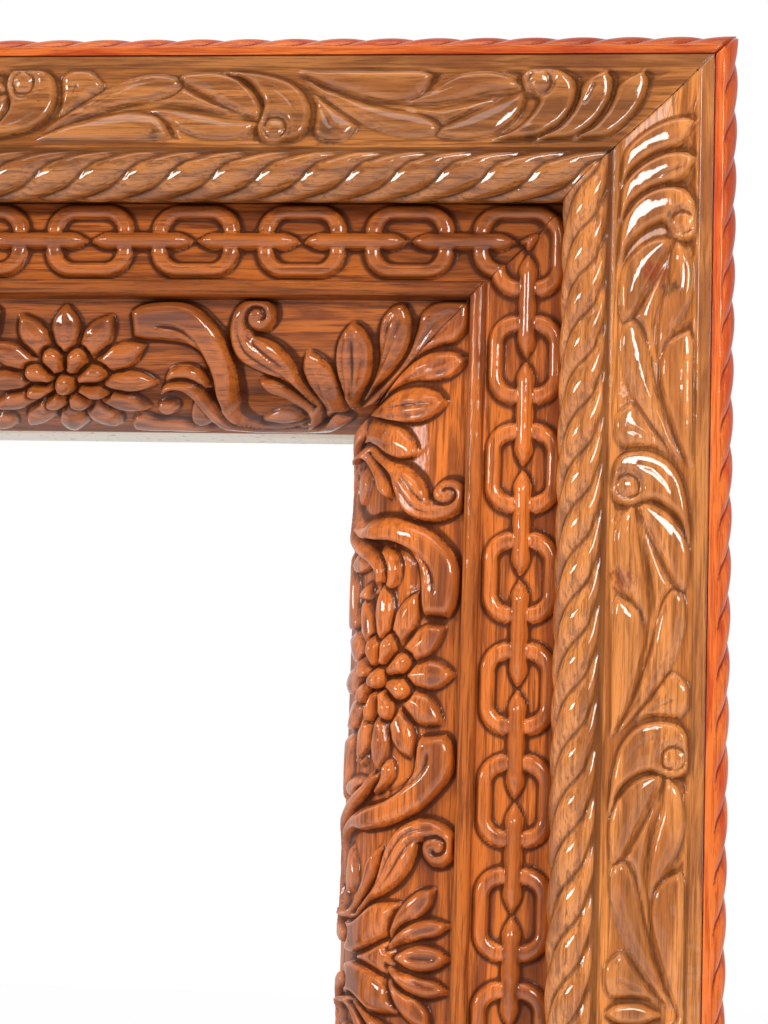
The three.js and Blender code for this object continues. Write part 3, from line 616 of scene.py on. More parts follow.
class Finish:
    """A node material under construction: each call adds a node and returns the socket to link on."""

    def __init__(self, name):
        self.material = bpy.data.materials.new(name)
        self.material.use_nodes = True
        self.tree = self.material.node_tree
        self.shader = self.tree.nodes["Principled BSDF"]

    def add(self, kind, output=0, settings=None, **inputs):
        """A node of one kind.  Inputs are named by their labels with underscores, or i0, i1 by number."""
        made = self.tree.nodes.new(kind)
        for key, value in (settings or {}).items():
            setattr(made, key, value)
        for key, value in inputs.items():
            numbered = key[0] == "i" and key[1:].isdigit()
            label = int(key[1:]) if numbered else key.replace("_", " ")
            self.join(value, made.inputs[label])
        return made.outputs[output]

    def join(self, value, socket):
        """Links or sets one of this material's sockets."""
        join(self.tree, value, socket)

    def attribute(self, name, output="Fac"):
        """One of the piece's own stored values."""
        return self.add("ShaderNodeAttribute", output, {"attribute_name": name})

    def stretch(self, vector, scale):
        """Coordinates multiplied along each axis."""
        return self.add("ShaderNodeMapping", 0, {"vector_type": "POINT"}, Vector=vector, Scale=scale)

    def noise(self, vector, scale, detail=3.0, roughness=0.55, distortion=0.0):
        """Cloudy noise from 0 to 1."""
        return self.add("ShaderNodeTexNoise", 0, None, Vector=vector, Scale=scale, Detail=detail,
                        Roughness=roughness, Distortion=distortion)

    def ramp(self, value, low, high, start=0.0, end=1.0):
        """The value moved from low..high to start..end, smoothly and clamped."""
        return self.add("ShaderNodeMapRange", 0, {"interpolation_type": "SMOOTHSTEP"}, Value=value,
                        From_Min=low, From_Max=high, To_Min=start, To_Max=end)

    def mix(self, share, a, b):
        """Colour a turned into colour b by the share."""
        made = self.tree.nodes.new("ShaderNodeMix")
        made.data_type = "RGBA"
        self.join(share, made.inputs[0])
        self.join(a if isinstance(a, bpy.types.NodeSocket) else (*a, 1.0), made.inputs[6])
        self.join(b if isinstance(b, bpy.types.NodeSocket) else (*b, 1.0), made.inputs[7])
        return made.outputs[2]

    def math(self, operation, a, b=0.0):
        """Arithmetic on two values."""
        return self.add("ShaderNodeMath", 0, {"operation": operation}, i0=a, i1=b)

    def bump(self, height, strength, distance, normal=None):
        """A surface tilt that follows the height."""
        inputs = {"Height": height, "Strength": strength, "Distance": distance}
        if normal is not None:
            inputs["Normal"] = normal
        return self.add("ShaderNodeBump", 0, None, **inputs)

    def surface(self, colour, roughness, normal=None, **constants):
        """Puts colour, roughness and bump on the shader; the rest are plain values on its own sockets."""
        self.join(colour, self.shader.inputs["Base Color"])
        self.join(roughness, self.shader.inputs["Roughness"])
        if normal is not None:
            self.join(normal, self.shader.inputs["Normal"])
            self.join(normal, self.shader.inputs["Coat Normal"])
        for key, value in constants.items():
            self.shader.inputs[key.replace("_", " ")].default_value = value
        return self.material


def carved_wood(name, colours, back, shade=1.0, filler=0.0, knots=(), dust_and_sheen=None, gloss=1.0, stain=0.85):
    """Varnished hardwood.  Long streaks of light and dark run with the plank, and finer pores lie in them.
    The hollows of the carving get darker, partly stain that gathered there and partly painted shade, and
    steep walls get a little painted shade; the crests get lighter, partly worn and partly painted
    highlight.  Bare ground between carved forms shows the small facets of the gouge.  The plank's back, at
    the depth given, is bare.  shade makes a whole plank darker, partly its own tone and partly painted
    shade where the plank gets less light; filler is how far from the mitre, in millimetres, black filler
    shows in places; knots are (s, w, radius, colour), each fading out from its middle with a ragged edge;
    the argument after knots gives where across the board, in millimetres, a grey film begins and is
    thickest, partly dust and partly painted reflection of the pale room; gloss is how much of the surface
    the varnish covers; stain is how dark the hollows get, stain and painted shade together."""
    finish = Finish(name)
    colours = {key: tuple(shade * part for part in colour) for key, colour in colours.items()}
    plank = finish.attribute("plank", "Vector")

    def drawn_out(along, across, *character):
        """Noise with so many waves per metre along the plank and across it."""
        return finish.noise(finish.stretch(plank, (along, across, across)), 1.0, *character)

    figure = drawn_out(9.0, 95.0, 4.0, 0.62, 0.8)
    band = drawn_out(3.0, 30.0, 2.0, 0.5, 0.5)
    streak = drawn_out(26.0, 620.0, 3.0, 0.65, 0.4)
    pores = drawn_out(110.0, 1900.0, 2.0, 0.5)
    tone = finish.mix(finish.ramp(figure, 0.38, 0.58), colours["middle"], colours["light"])
    deep = finish.mix(0.58, colours["middle"], colours["dark"])
    tone = finish.mix(finish.ramp(band, 0.46, 0.66, 0.0, 0.8), tone, deep)
    tone = finish.mix(finish.ramp(streak, 0.46, 0.66, 0.0, 0.75), tone, deep)
    tone = finish.mix(finish.ramp(pores, 0.56, 0.68, 0.0, 0.35), tone, colours["dark"])
    for along, across, radius, colour in knots:
        flat = finish.stretch(plank, (1.0, 1.0, 0.0))
        spot = (along / 1000.0, across / 1000.0, 0.0)
        gap = finish.add("ShaderNodeVectorMath", 1, {"operation": "DISTANCE"}, i0=flat, i1=spot)
        torn = drawn_out(300.0, 500.0, 4.0, 0.7)
        torn = finish.math("MULTIPLY", finish.math("SUBTRACT", torn, 0.5), radius / 350.0)
        share = finish.ramp(finish.math("ADD", gap, torn), 0.1 * radius / 1000.0, radius / 1000.0, 0.75, 0.0)
        tone = finish.mix(share, tone, colour)
    hollow = finish.attribute("hollow")
    walls = finish.ramp(finish.attribute("steep"), 0.9, 2.2)
    # Painted shade together with real stain: points lying below their neighbourhood turn towards the dark
    # tone
    tone = finish.mix(finish.ramp(hollow, 0.07, 0.65, 0.0, stain), tone, colours["dark"])
    # Painted shade on the steep walls of the forms
    tone = finish.mix(finish.math("MULTIPLY", walls, 0.15), tone, colours["dark"])
    # Crests turn towards the light tone: partly wear, partly painted highlight
    tone = finish.mix(finish.ramp(hollow, -0.08, -0.5, 0.0, 0.35), tone, colours["light"])
    # A grey film towards the sight edge: partly dust, partly painted reflection of the pale room
    if dust_and_sheen:
        across = finish.add("ShaderNodeSeparateXYZ", 1, None, Vector=plank)
        film = finish.ramp(across, dust_and_sheen[0] / 1000.0, dust_and_sheen[1] / 1000.0, 0.0, DUST_AND_SHEEN_SHARE)
        tone = finish.mix(film, tone, DUST_AND_SHEEN_TONE)
    if filler:
        seam = finish.attribute("seam")
        ragged = drawn_out(260.0, 260.0, 2.0)
        lump = finish.ramp(ragged, 0.5, 0.75, 0.0, filler)
        share = finish.ramp(finish.math("SUBTRACT", seam, lump), 0.12, 0.0)
        tone = finish.mix(share, tone, FILLER_TONE)
    depth = finish.add("ShaderNodeSeparateXYZ", 2, None, Vector=plank)
    bare = finish.math("LESS_THAN", depth, (back + 0.2) / 1000.0)
    bare_tone = finish.mix(finish.ramp(figure, 0.3, 0.7), BARE_WOOD["light"], BARE_WOOD["middle"])
    bare_tone = finish.mix(finish.ramp(streak, 0.5, 0.7, 0.0, 0.6), bare_tone, BARE_WOOD["dark"])
    tone = finish.mix(bare, tone, bare_tone)
    ground = finish.attribute("ground")
    gouge = drawn_out(220.0, 800.0, 2.0, 0.5)
    cuts = drawn_out(150.0, 230.0, 1.0, 0.4)
    normal = finish.bump(finish.math("MULTIPLY", gouge, ground), 0.3, 0.0006)
    normal = finish.bump(cuts, 0.5, 0.0004, normal)
    normal = finish.bump(streak, 0.10, 0.0002, normal)
    roughness = finish.ramp(figure, 0.2, 0.8, 0.45, 0.6)
    corners = finish.ramp(hollow, 0.2, 0.9)
    coat = finish.ramp(finish.math("MAXIMUM", walls, corners), 0.0, 1.0, gloss, 0.12 * gloss)
    coat = finish.math("MULTIPLY", coat, finish.ramp(ground, 0.1, 0.9, 1.0, 0.25))
    varnished = finish.math("SUBTRACT", 1.0, bare)
    finish.join(finish.math("MULTIPLY", coat, varnished), finish.shader.inputs["Coat Weight"])
    return finish.surface(tone, roughness, normal, Coat_Roughness=0.055, Coat_IOR=1.55,
                          Specular_IOR_Level=0.05)


LEAVES = leaf_carving()
for side, shade in BOARD_TONE_AND_SHADE.items():
    board = rail_piece("carved_leaf_board_" + side, side, leaf_board_runs(), OUTER_ROW_STEP, MITRE_GAP)
    board.data.materials.append(carved_wood("outer_board_wood_" + side, OUTER_WOOD, OUTER_BACK, shade, 0.7,
                                            KNOTS.get(side, ()), stain=0.66))
    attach(board, "frame")
    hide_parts("leaf_board_" + side)


# Inner boards
# Four mitred boards of a redder hardwood fill the inside: a sunk floor with a chain of flat links, a bead,
# and the broad band of flowers, ribbons and leaves that falls back to the sight edge.  All of it is one
# piece of wood per side, cut down to a floor that keeps the marks of the gouge.

BAND_START = 95.8
INNER_START = 56.8
CHAIN_FLOOR = -17.3
SIGHT_DEPTH = -57.8
FLOWER_BAND = (
    (BAND_START, -22), (112, -25.5), (122, -30), (130, -36), (138, -46), (SIGHT_EDGE, SIGHT_DEPTH),
)
INNER_ROW_STEP = 1.25
BEAD_STEP = 0.9

CHAIN_PITCH = 43.8
FIRST_LINK = 121.0
LINK_LENGTH = 38.0
LINK_WIDTH = 31.4
LINK_CORNER = 12.0
LINK_RISE = 3.5
LINK_WALL = 1.9
HOLE_LENGTH = 21.0
HOLE_WIDTH = 17.0
HOLE_CORNER = 4.5
BAR_LENGTH = 42.0
BAR_WIDTH = 8.0
BAR_POINT = 7.5
BAR_RISE = 5.4
BAR_RIDGE = 0.30
CHAIN_MIDDLE = 72.9

INNER_WOOD = {"light": (0.72, 0.186, 0.030), "middle": (0.32, 0.076, 0.018), "dark": (0.070, 0.018, 0.008)}


def round_corners(along, across, half_length, half_width, corner):
    """Distance from the outline of a rectangle with round corners: below nothing inside it."""
    past_length = np.abs(along) - (half_length - corner)
    past_width = np.abs(across) - (half_width - corner)
    outside = np.hypot(np.maximum(past_length, 0), np.maximum(past_width, 0))
    return outside + np.minimum(np.maximum(past_length, past_width), 0) - corner


def chain_height(s, w, rail_length):
    """Heights of the chain.  Each face-on link is a band between two rectangles with round corners: a
    sine-shaped wall on both sides and a low parabola over the top.  Each edge-on link is a bar with steep
    sides, a blunt ridge and two pointed ends, and lies over the ends of its neighbours.  The higher of
    the two shows."""
    turn = (s - FIRST_LINK + CHAIN_PITCH / 2) % CHAIN_PITCH - CHAIN_PITCH / 2
    across = w - CHAIN_MIDDLE
    from_rim = -round_corners(turn, across, LINK_LENGTH / 2, LINK_WIDTH / 2, LINK_CORNER)
    from_hole = round_corners(turn, across, HOLE_LENGTH / 2, HOLE_WIDTH / 2, HOLE_CORNER)
    share = np.clip(from_rim / np.maximum(from_rim + from_hole, 1e-6), 0, 1)
    walls = np.clip(from_rim / LINK_WALL, 0, 1) * np.clip(from_hole / LINK_WALL, 0, 1)
    link = LINK_RISE * np.sin(np.pi / 2 * walls) ** 1.5 * (0.52 + 1.92 * share * (1 - share))
    between = (s - FIRST_LINK) % CHAIN_PITCH - CHAIN_PITCH / 2
    taper = np.clip((BAR_LENGTH / 2 - np.abs(between)) / BAR_POINT, 0, 1)
    reach = BAR_WIDTH / 2 * np.sin(np.pi / 2 * taper) ** 0.75
    aside = np.clip(np.abs(across) / np.maximum(reach, 1e-6), 0, 1)
    section = (1 - aside**4) * (1 - BAR_RIDGE * aside)
    bar = BAR_RISE * section * (0.35 + 0.65 * taper**0.6) * (taper > 0)
    return np.maximum(link, bar)


def tooled(carved):
    """Where the height is nothing, the floor keeps the gouge's marks; the links keep a few of them."""
    return np.maximum(uncarved(carved), 0.3)


def scraped(carved):
    """The flower band's ground was scraped and not polished, but its forms were."""
    return 0.7 * uncarved(carved)


def planed(carved):
    """The bead was left from the plane, duller than the carving."""
    return 0.8 + 0 * carved


# Ornament of the flower band, from the flower's middle towards a palmette: b along, q down the band.

PETAL_COUNT = 12
PETAL_REACH = 38.5
PETAL_FILL = 0.92
PETAL_RISE = 5.6
INNER_COUNT = 8
INNER_REACH = 19.0
INNER_FILL = 0.93
INNER_RISE = 7.0
PETAL_WIDEST = 0.68
BOSS_RADIUS = 4.7
BOSS_RISE = 8.8
FLOWER_ACROSS = 34.2
SQUEEZE_UP = 0.84
SQUEEZE_DOWN = 0.70

RIBBON = [
    (27, 5), (27, 5), (31, 2.4), (38, 0.9), (47, 0.6), (55, 3), (61, 8.2), (65.5, 13.5), (69, 20), (71.3, 27),
    (72.4, 34), (72.8, 41), (72.2, 46), (74.5, 51), (80, 54.8), (88, 56.2), (97, 55), (89, 58.2), (80, 57.8),
    (72.5, 54.6), (67, 49.5), (64.2, 44), (62.6, 38), (61.5, 31), (59, 25.5), (55, 20.8), (49, 18), (42, 17),
    (34, 16.6), (28.4, 15.4), (28.4, 15.4),
]
RIBBON_GROOVE = [(38, 11), (46.5, 12), (53, 15.6), (58, 22.4), (61.2, 30), (63.6, 37.6), (66.4, 44)]
RIBBON_LINE = [(44, 14.6), (50, 16.6), (54.6, 21), (58.2, 27.6), (60.8, 34), (63, 40.4)]
THIN_BAND = [
    (39, 37), (41.5, 33.8), (47, 32), (53, 32.6), (57.6, 36), (61.4, 41.5), (66, 48), (72, 53.6), (80, 57.2),
    (90, 58), (100, 56.6), (107, 53), (112, 47.5), (117.5, 51.5), (112, 57.4), (103, 60.6), (90, 61.8),
    (78, 61.2), (69, 58), (62, 52.6), (57.4, 46.4), (53.6, 40.6), (49, 37.2), (44, 37.2), (41, 39),
]
HUMP = [
    (59.5, 36.5), (58.4, 31.4), (55, 27.6), (49.5, 26), (43.5, 27.6), (40.6, 32), (41.5, 36), (50, 35),
    (55, 37),
]
SCROLL = [
    (83.5, 13.2), (87.4, 8.8), (87.2, 3), (83, -0.8), (76.5, -1), (71, 2.6), (68.2, 9), (68.2, 16),
    (71, 22.4), (76, 26.6), (83, 29.6), (90, 32.2), (96, 36.6), (101, 42), (104, 48), (106, 52.4),
    (107.6, 46), (105, 40), (100.6, 34.5), (97.6, 28.6), (94, 22.6), (89, 17.8), (84.5, 15.4),
    (80, 14.2), (80, 14.2),
]
SCROLL_GROOVES = (
    [(71.8, 8), (72.4, 14), (76, 20.4), (83, 25), (90.6, 29.6), (98, 35.6), (103, 42)],
    [(75.4, 10.4), (77.6, 16), (83.4, 20.6), (90.4, 25.4), (96.6, 31.4)],
)
SPIRAL = [(84.6, 13.4), (79.6, 13), (76.4, 10.2), (76, 6.4), (78.6, 3.4), (82.2, 3.8), (83.2, 7), (81.2, 8.6)]
TONGUE = [
    (79.2, 31.4), (79.2, 31.4), (86, 31), (92.5, 33.6), (99, 38.4), (104, 43.4), (106.6, 49), (104.6, 54.6),
    (100.6, 56.6), (102.6, 51.6), (100.8, 46.4), (97, 43), (91, 39.6), (85, 37.4),
]
LOOP_RIM = [
    (104.4, 44), (106, 49), (103.4, 53.6), (97, 56.4), (88, 57.2), (80, 55.6), (74.4, 52.4), (70.8, 47.6),
]
LEAF_BY_SCROLL = [
    (100, 19.6), (100, 19.6), (106, 22.6), (111.4, 28.4), (114.8, 35.6), (116.2, 44), (114.6, 52), (111, 57),
    (107.6, 52), (105.4, 43.6), (101.6, 36.4), (98.2, 29.4), (98.2, 23.6),
]
LEAF_LINE_BY_SCROLL = [(101.5, 24.5), (105.4, 32.5), (108.8, 41), (110.6, 49)]
UPRIGHT_LEAF = [
    (118.6, 8), (118.6, 8), (115, 11.6), (112.2, 17.6), (112, 25), (113.8, 32.6), (116.4, 40), (119, 47),
    (121.4, 42), (125.2, 34.6), (127.2, 27), (127, 19), (124, 11.8),
]
UPRIGHT_RIBS = (
    [(118.4, 11), (119.6, 19), (120.4, 27.5), (120.2, 36), (119.4, 43)],
    [(115.8, 13.5), (115.2, 21), (116.2, 29.5), (118, 38)],
    [(121.8, 13), (124.4, 20), (124, 28), (121.8, 36.5)],
)
OUTER_LEAF = [
    (139, 0.4), (139, 0.4), (134, 2.6), (130, 8), (129, 14.4), (129.4, 20.4), (128.4, 27), (126, 34),
    (121.4, 43.5), (127, 37), (135, 29.4), (140.4, 22), (143, 14.6), (142.6, 6.6),
]
OUTER_RIBS = (
    [(138.6, 3.4), (137, 11), (134.4, 19), (130.6, 27), (126.4, 34.5)],
    [(134.8, 5.4), (132.4, 13), (131, 21), (128.4, 29)],
)
MITRE_LEAF = [
    (170, 2), (160, -0.6), (152, 0.6), (146.4, 5), (144.4, 12), (141.4, 20.6), (135.6, 28.6), (129, 36),
    (121.6, 45), (133, 42), (142, 34), (152, 25), (162, 14),
]
MITRE_RIBS = (
    [(160, 4), (152.6, 9), (147.6, 16), (141.6, 25), (135.4, 33)],
    [(165, 8), (157, 14.4), (149, 23), (141, 31)],
)
LOOP_BUD = [(97, 53), (95.6, 48.6), (91, 46), (85.4, 47.4), (79, 51.6), (84, 54.2), (91, 55.2)]
LOW_BUDS = (
    [(59.4, 44.5), (57, 41.2), (53, 41), (50.6, 46), (50.4, 52.6), (54, 57.6), (59, 55), (60.6, 49.6)],
    [(45, 43.2), (40.6, 42), (37, 43.4), (36.6, 47), (39.4, 50), (43.4, 49.8), (45.2, 47)],
    [(62, 58.5), (54, 55.4), (46, 53.6), (36, 52.6), (29.6, 50), (25, 52.4), (25.4, 58), (31, 60), (42, 60.6),
     (54, 61)],
)

MIDDLE_LEAVES = (
    [(0, 0.3), (0, 0.3), (-4.4, 6), (-5.6, 13), (-3.6, 19.5), (0, 24), (3.6, 19.5), (5.6, 13), (4.4, 6)],
    [(13, 0.5), (13, 0.5), (8.4, 6), (7, 13), (5, 20), (3, 27), (9, 23.5), (13.5, 17.5), (15.8, 9)],
    [(27.5, 7.5), (27.5, 7.5), (20.5, 8.5), (15.5, 13), (11.5, 19.5), (7.5, 26), (15, 24.5), (21.5, 20.5),
     (26.6, 14)],
)
MIDDLE_RIBS = (
    [(0.6, 5), (0.4, 12), (0, 20)],
    [(12, 4), (10.6, 11), (7.6, 18), (4.4, 24)],
    [(24.5, 9.4), (18.6, 14), (13.4, 19), (9.4, 24)],
)
MIDDLE_LOW_LEAF = [
    (21, 20), (14, 22.5), (9, 26), (5, 33), (1.5, 43), (1.5, 51), (7, 56), (14, 58.5), (19, 50), (21.5, 38),
    (22, 28),
]
MIDDLE_HEART = [
    (0, 21), (0, 21), (-5, 24.5), (-6.5, 28), (-3.4, 36), (0, 46), (3.4, 36), (6.5, 28), (5, 24.5),
]


def half_flower_carving(flower_s, half_opening, corner_map, middle_map):
    """Flower band from the mitre to the board's middle: the flower, and on both sides of it a ribbon, a
    thin band, a scroll and buds that lead to the corner's leaves or to the palmette in the middle."""
    cut = Carving(92.0, SIGHT_EDGE + half_opening + 34, 66.0)
    middle_s = SIGHT_EDGE + half_opening

    for corner in (True, False):
        def towards(points):
            """Points given from the flower outward, put on the board."""
            b, q = np.asarray(points, float).T
            if corner:
                return np.stack([flower_s - np.interp(b, *corner_map), q], 1)
            return np.stack([flower_s + np.interp(b, *middle_map), q], 1)

        def mirrored(points, way):
            """Points given from the board's middle, put to one side of it."""
            return [(middle_s + way * x, q) for x, q in points]

        if corner:
            cut.form(towards(MITRE_LEAF), 4.8, 5.0, "soft", undercut=0.4)
            for line in MITRE_RIBS:
                cut.groove(towards(line), 3.2, 0.8)
            cut.form(towards(OUTER_LEAF), 5.8, 7.0, "roof")
            for line in OUTER_RIBS:
                cut.groove(towards(line), 3.4, 1.3)
            cut.form(towards(LEAF_BY_SCROLL), 5.2, 8.0, "roof")
            cut.groove(towards(LEAF_LINE_BY_SCROLL), 2.8, 0.6)
            cut.form(towards(UPRIGHT_LEAF), 5.8, 4.8, "soft")
            for line in UPRIGHT_RIBS:
                cut.groove(towards(line), 3.4, 1.3)
        else:
            for way in (1, -1):
                cut.form(mirrored(MIDDLE_LOW_LEAF, way), 5.4, 6.0, "soft")
            cut.form(mirrored(MIDDLE_HEART, 1), 3.8, 4.0, "soft")
            for number, outline in reversed(list(enumerate(MIDDLE_LEAVES))):
                for way in (1, -1):
                    cut.form(mirrored(outline, way), 5.0, 3.8, "soft")
                    cut.groove(mirrored(MIDDLE_RIBS[number], way), 3.2, 1.1)
        cut.form(towards(LOOP_BUD), 3.4, 4.0, "soft")
        for outline in LOW_BUDS:
            cut.form(towards(outline), 4.0, 3.6, "soft")
        cut.form(towards(HUMP), 4.6, 4.5, "soft")
        cut.form(towards(SCROLL), 6.4, 5.0, "soft")
        for line in SCROLL_GROOVES:
            cut.groove(towards(line), 3.2, 1.4)
        cut.groove(towards(SPIRAL), 3.0, 2.6, fade=0.1)
        cut.form(towards(TONGUE), 5.4, 2.8, "soft")
        cut.groove(towards(LOOP_RIM), 4.4, -3.6, fade=0.06)
        cut.form(towards(RIBBON), 6.8, 4.2, "soft")
        cut.groove(towards(RIBBON_GROOVE), 3.2, 1.7, fade=0.08)
        cut.groove(towards(RIBBON_LINE), 3.0, 1.2, fade=0.12)
        cut.form(towards(THIN_BAND), 6.0, 2.6, "soft")

    petals(cut, flower_s)
    return cut


def petals(cut, flower_s):
    """The flower: broad outer petals with a ridge along them, rounded inner ones over them, and a round
    boss.  Its circle is squeezed across the band, less towards the bead than towards the sight edge."""
    def laid(points, angle):
        """Petal points, given along and beside its own axis, turned to their angle and squeezed."""
        out, beside = np.asarray(points, float).T
        s = out * np.sin(angle) + beside * np.cos(angle)
        q = -out * np.cos(angle) + beside * np.sin(angle)
        return np.stack([flower_s + s, FLOWER_ACROSS + q * np.where(q < 0, SQUEEZE_UP, SQUEEZE_DOWN)], 1)

    def petal(reach, waist, count, point):
        """Half a petal in (out, beside) and its mirror image.  Its sides follow the rays that share the
        circle between the petals as far as the widest place, and then close to the tip: beside falls by
        one less the square of the way gone, to the power point.  A point of one half is round, one is
        pointed."""
        out = np.array([0.28, 0.45, 0.6, PETAL_WIDEST, 0.79, 0.86, 0.92, 0.965, 0.99, 1.0]) * reach
        ray = out * np.tan(np.pi / count) * waist
        widest = PETAL_WIDEST * reach
        past = np.clip((out - widest) / (reach - widest), 0, 1)
        beside = ray[out <= widest].max() * (1 - past**2) ** point * (past > 0) + ray * (past == 0)
        one_side = np.stack([out, beside], 1)
        return np.vstack([one_side, one_side[-2::-1] * (1, -1)])

    for number in range(PETAL_COUNT):
        angle = 2 * np.pi * number / PETAL_COUNT
        outer = petal(PETAL_REACH, PETAL_FILL, PETAL_COUNT, 0.9)
        cut.form(laid(outer, angle), PETAL_RISE, 7.5, "roof")
    for number in range(INNER_COUNT):
        angle = 2 * np.pi * (number + 0.5) / INNER_COUNT
        inner = petal(INNER_REACH, INNER_FILL, INNER_COUNT, 0.5)
        cut.form(laid(inner, angle), INNER_RISE, 4.4, "soft", undercut=0.9)
    cut.form(circle((flower_s, FLOWER_ACROSS), BOSS_RADIUS), BOSS_RISE, BOSS_RADIUS, undercut=0.9)


FULL_MAP = ([0, 200], [0, 200])
# On the shorter boards the same ornament is drawn together, some parts of it more than others
SIDE_CORNER_MAP = (
    [0, 27, 42.5, 72.5, 79.5, 100, 118.5, 139, 170],
    [0, 22.5, 36, 65.5, 71.5, 89.5, 109.5, 127.5, 157],
)
SIDE_MIDDLE_MAP = (
    [0, 28, 42.5, 56, 66, 73, 80, 92, 103, 118, 170],
    [0, 24, 33, 43, 54, 61.5, 67, 81, 92, 107, 150],
)
FLOWER_FROM_CORNER_TOP = 262.0
FLOWER_FROM_CORNER_SIDE = 247.0
FLOWERS_TOP = half_flower_carving(FLOWER_FROM_CORNER_TOP, SIGHT_WIDTH / 2, FULL_MAP, FULL_MAP)
FLOWERS_SIDE = half_flower_carving(FLOWER_FROM_CORNER_SIDE, SIGHT_HEIGHT / 2, SIDE_CORNER_MAP,
                                   SIDE_MIDDLE_MAP)


def band_room(q):
    """How high a form may stand at a place on the band before it would pass the sight line."""
    band = np.array(FLOWER_BAND, float)
    reach = way_along(band)
    w = np.interp(q, reach, band[:, 0])
    slope = np.interp(q, reach, [0.15, 0.3, 0.5, 0.68, 0.84, 0.88])
    return (SIGHT_EDGE + 0.3 - w) / slope


def flower_height(s, q, rail_length):
    """Flower band heights on a whole board: the half board's chart and its mirror image."""
    chart = FLOWERS_TOP if rail_length == BOARD_WIDTH else FLOWERS_SIDE
    from_corner = np.minimum(s, rail_length - s)
    height = chart.at(from_corner, q) * np.clip((q + 0.3) / 1.2, 0, 1)
    room = np.maximum(band_room(q), 0.0)
    return np.minimum(height, room)


def bead_dip(s, w):
    """The bead took more stain than the carving beside it."""
    return 0.3 + 0 * w


def inner_board_runs():
    """The closed section of an inner board."""
    outside = stations([(INNER_START, SIGHT_DEPTH), (INNER_START, CHAIN_FLOOR - 0.5)], 9.0)
    floor = evenly(np.array([(INNER_START + 0.1, CHAIN_FLOOR), (89.0, CHAIN_FLOOR)]), ACROSS_STEP)
    bead = smooth_line([(89.2, CHAIN_FLOOR + 0.6), (89.3, -14.5), (90, -12.6), (91.6, -11.9),
                        (93.6, -12.1), (95.2, -13.3), (BAND_START, -15.2), (95.9, -19), (95.9, -21.4)])
    bead = evenly(bead, BEAD_STEP)
    band = evenly(smooth_line(FLOWER_BAND), ACROSS_STEP)
    out = normals(band)
    for _ in range(12):
        out[1:-1] = (out[:-2] + 2 * out[1:-1] + out[2:]) / 4
    out /= np.hypot(out[:, 0], out[:, 1])[:, None]
    back = stations([(SIGHT_EDGE, SIGHT_DEPTH), (INNER_START + 6, SIGHT_DEPTH)], 12.0)[1:]
    return [
        section_run(outside),
        section_run(floor, forward(floor), carve=chain_height, across=floor[:, 0], ground=tooled),
        section_run(bead, across=bead[:, 0], dip=bead_dip, ground=planed),
        section_run(band, out, carve=flower_height, across=way_along(band), ground=scraped),
        section_run(back),
    ]


for side, shade in BOARD_TONE_AND_SHADE.items():
    board = rail_piece("carved_flower_board_" + side, side, inner_board_runs(), INNER_ROW_STEP,
                       MITRE_GAP)
    # The inner boards get a grey film towards the sight edge, partly dust and partly painted reflection
    board.data.materials.append(carved_wood("inner_board_wood_" + side, INNER_WOOD, SIGHT_DEPTH, shade,
                                            dust_and_sheen=(SIGHT_EDGE - 12, SIGHT_EDGE - 1)))
    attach(board, "frame")
    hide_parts("chain_flower_board_" + side)


# Rope strips
# A thin strip of bright red-orange wood is glued and pinned along each outer edge: a flat fillet next to
# the board, and a half-round outside it that is cut as a small rope.  The strips stop short of each other
# at the corners.

STRIP_GAP = 0.8
STRIP_FACE = -0.06
STRIP_GROOVE = 0.6
STRIP_FILLET = 3.8
STRIP_BULGE = 6.1
STRIP_HEIGHT = 14.0
STRIP_BACK = -16.0
STRIP_PITCH = 19.4
STRIP_DEPTH = 1.9
STRIP_SHOULDER = 0.45
STRIP_ROUNDNESS = 0.84
STRIP_ROW_STEP = 1.0
STRIP_LEAN_AT = (0.0, 0.23, 0.50, 0.73, 0.87, 0.95, 1.0)
STRIP_LEAN = (36.8, 24.8, 18.4, 12.0, 8.0, 4.5, 0.0)

# Each strip's darkness is partly its own tone; the top strip's lower value is partly painted shade for the
# less light it gets
STRIP_TONE_AND_SHADE = {"top": 0.8, "right": 1.0, "bottom": 0.9, "left": 0.95}
STRIP_WOOD = {"light": (0.78, 0.172, 0.028), "middle": (0.58, 0.072, 0.011), "dark": (0.20, 0.020, 0.007)}


def strip_phase(s, around):
    """Turns of the small rope's twist up to a place."""
    return (s + np.interp(around, STRIP_LEAN_AT, STRIP_LEAN)) / STRIP_PITCH


def strip_height(s, around, rail_length):
    """Depth of the small rope's grooves, each strand round between two of them.  around is the share of the
    way over the half-round, from its back to its front."""
    strand = np.minimum(np.sqrt(np.sin(np.pi * strip_phase(s, around)) ** 2 + 0.01), 1)
    ends = np.clip(around / 0.08, 0, 1) * np.clip((1 - around) / 0.10, 0, 1)
    return -STRIP_DEPTH * (1 - strand**0.6) * ends


def strip_dip(s, around):
    """A dark line in each groove of the small rope, partly stain and partly painted shade."""
    return 0.5 * groove_line(strip_phase(s, around))


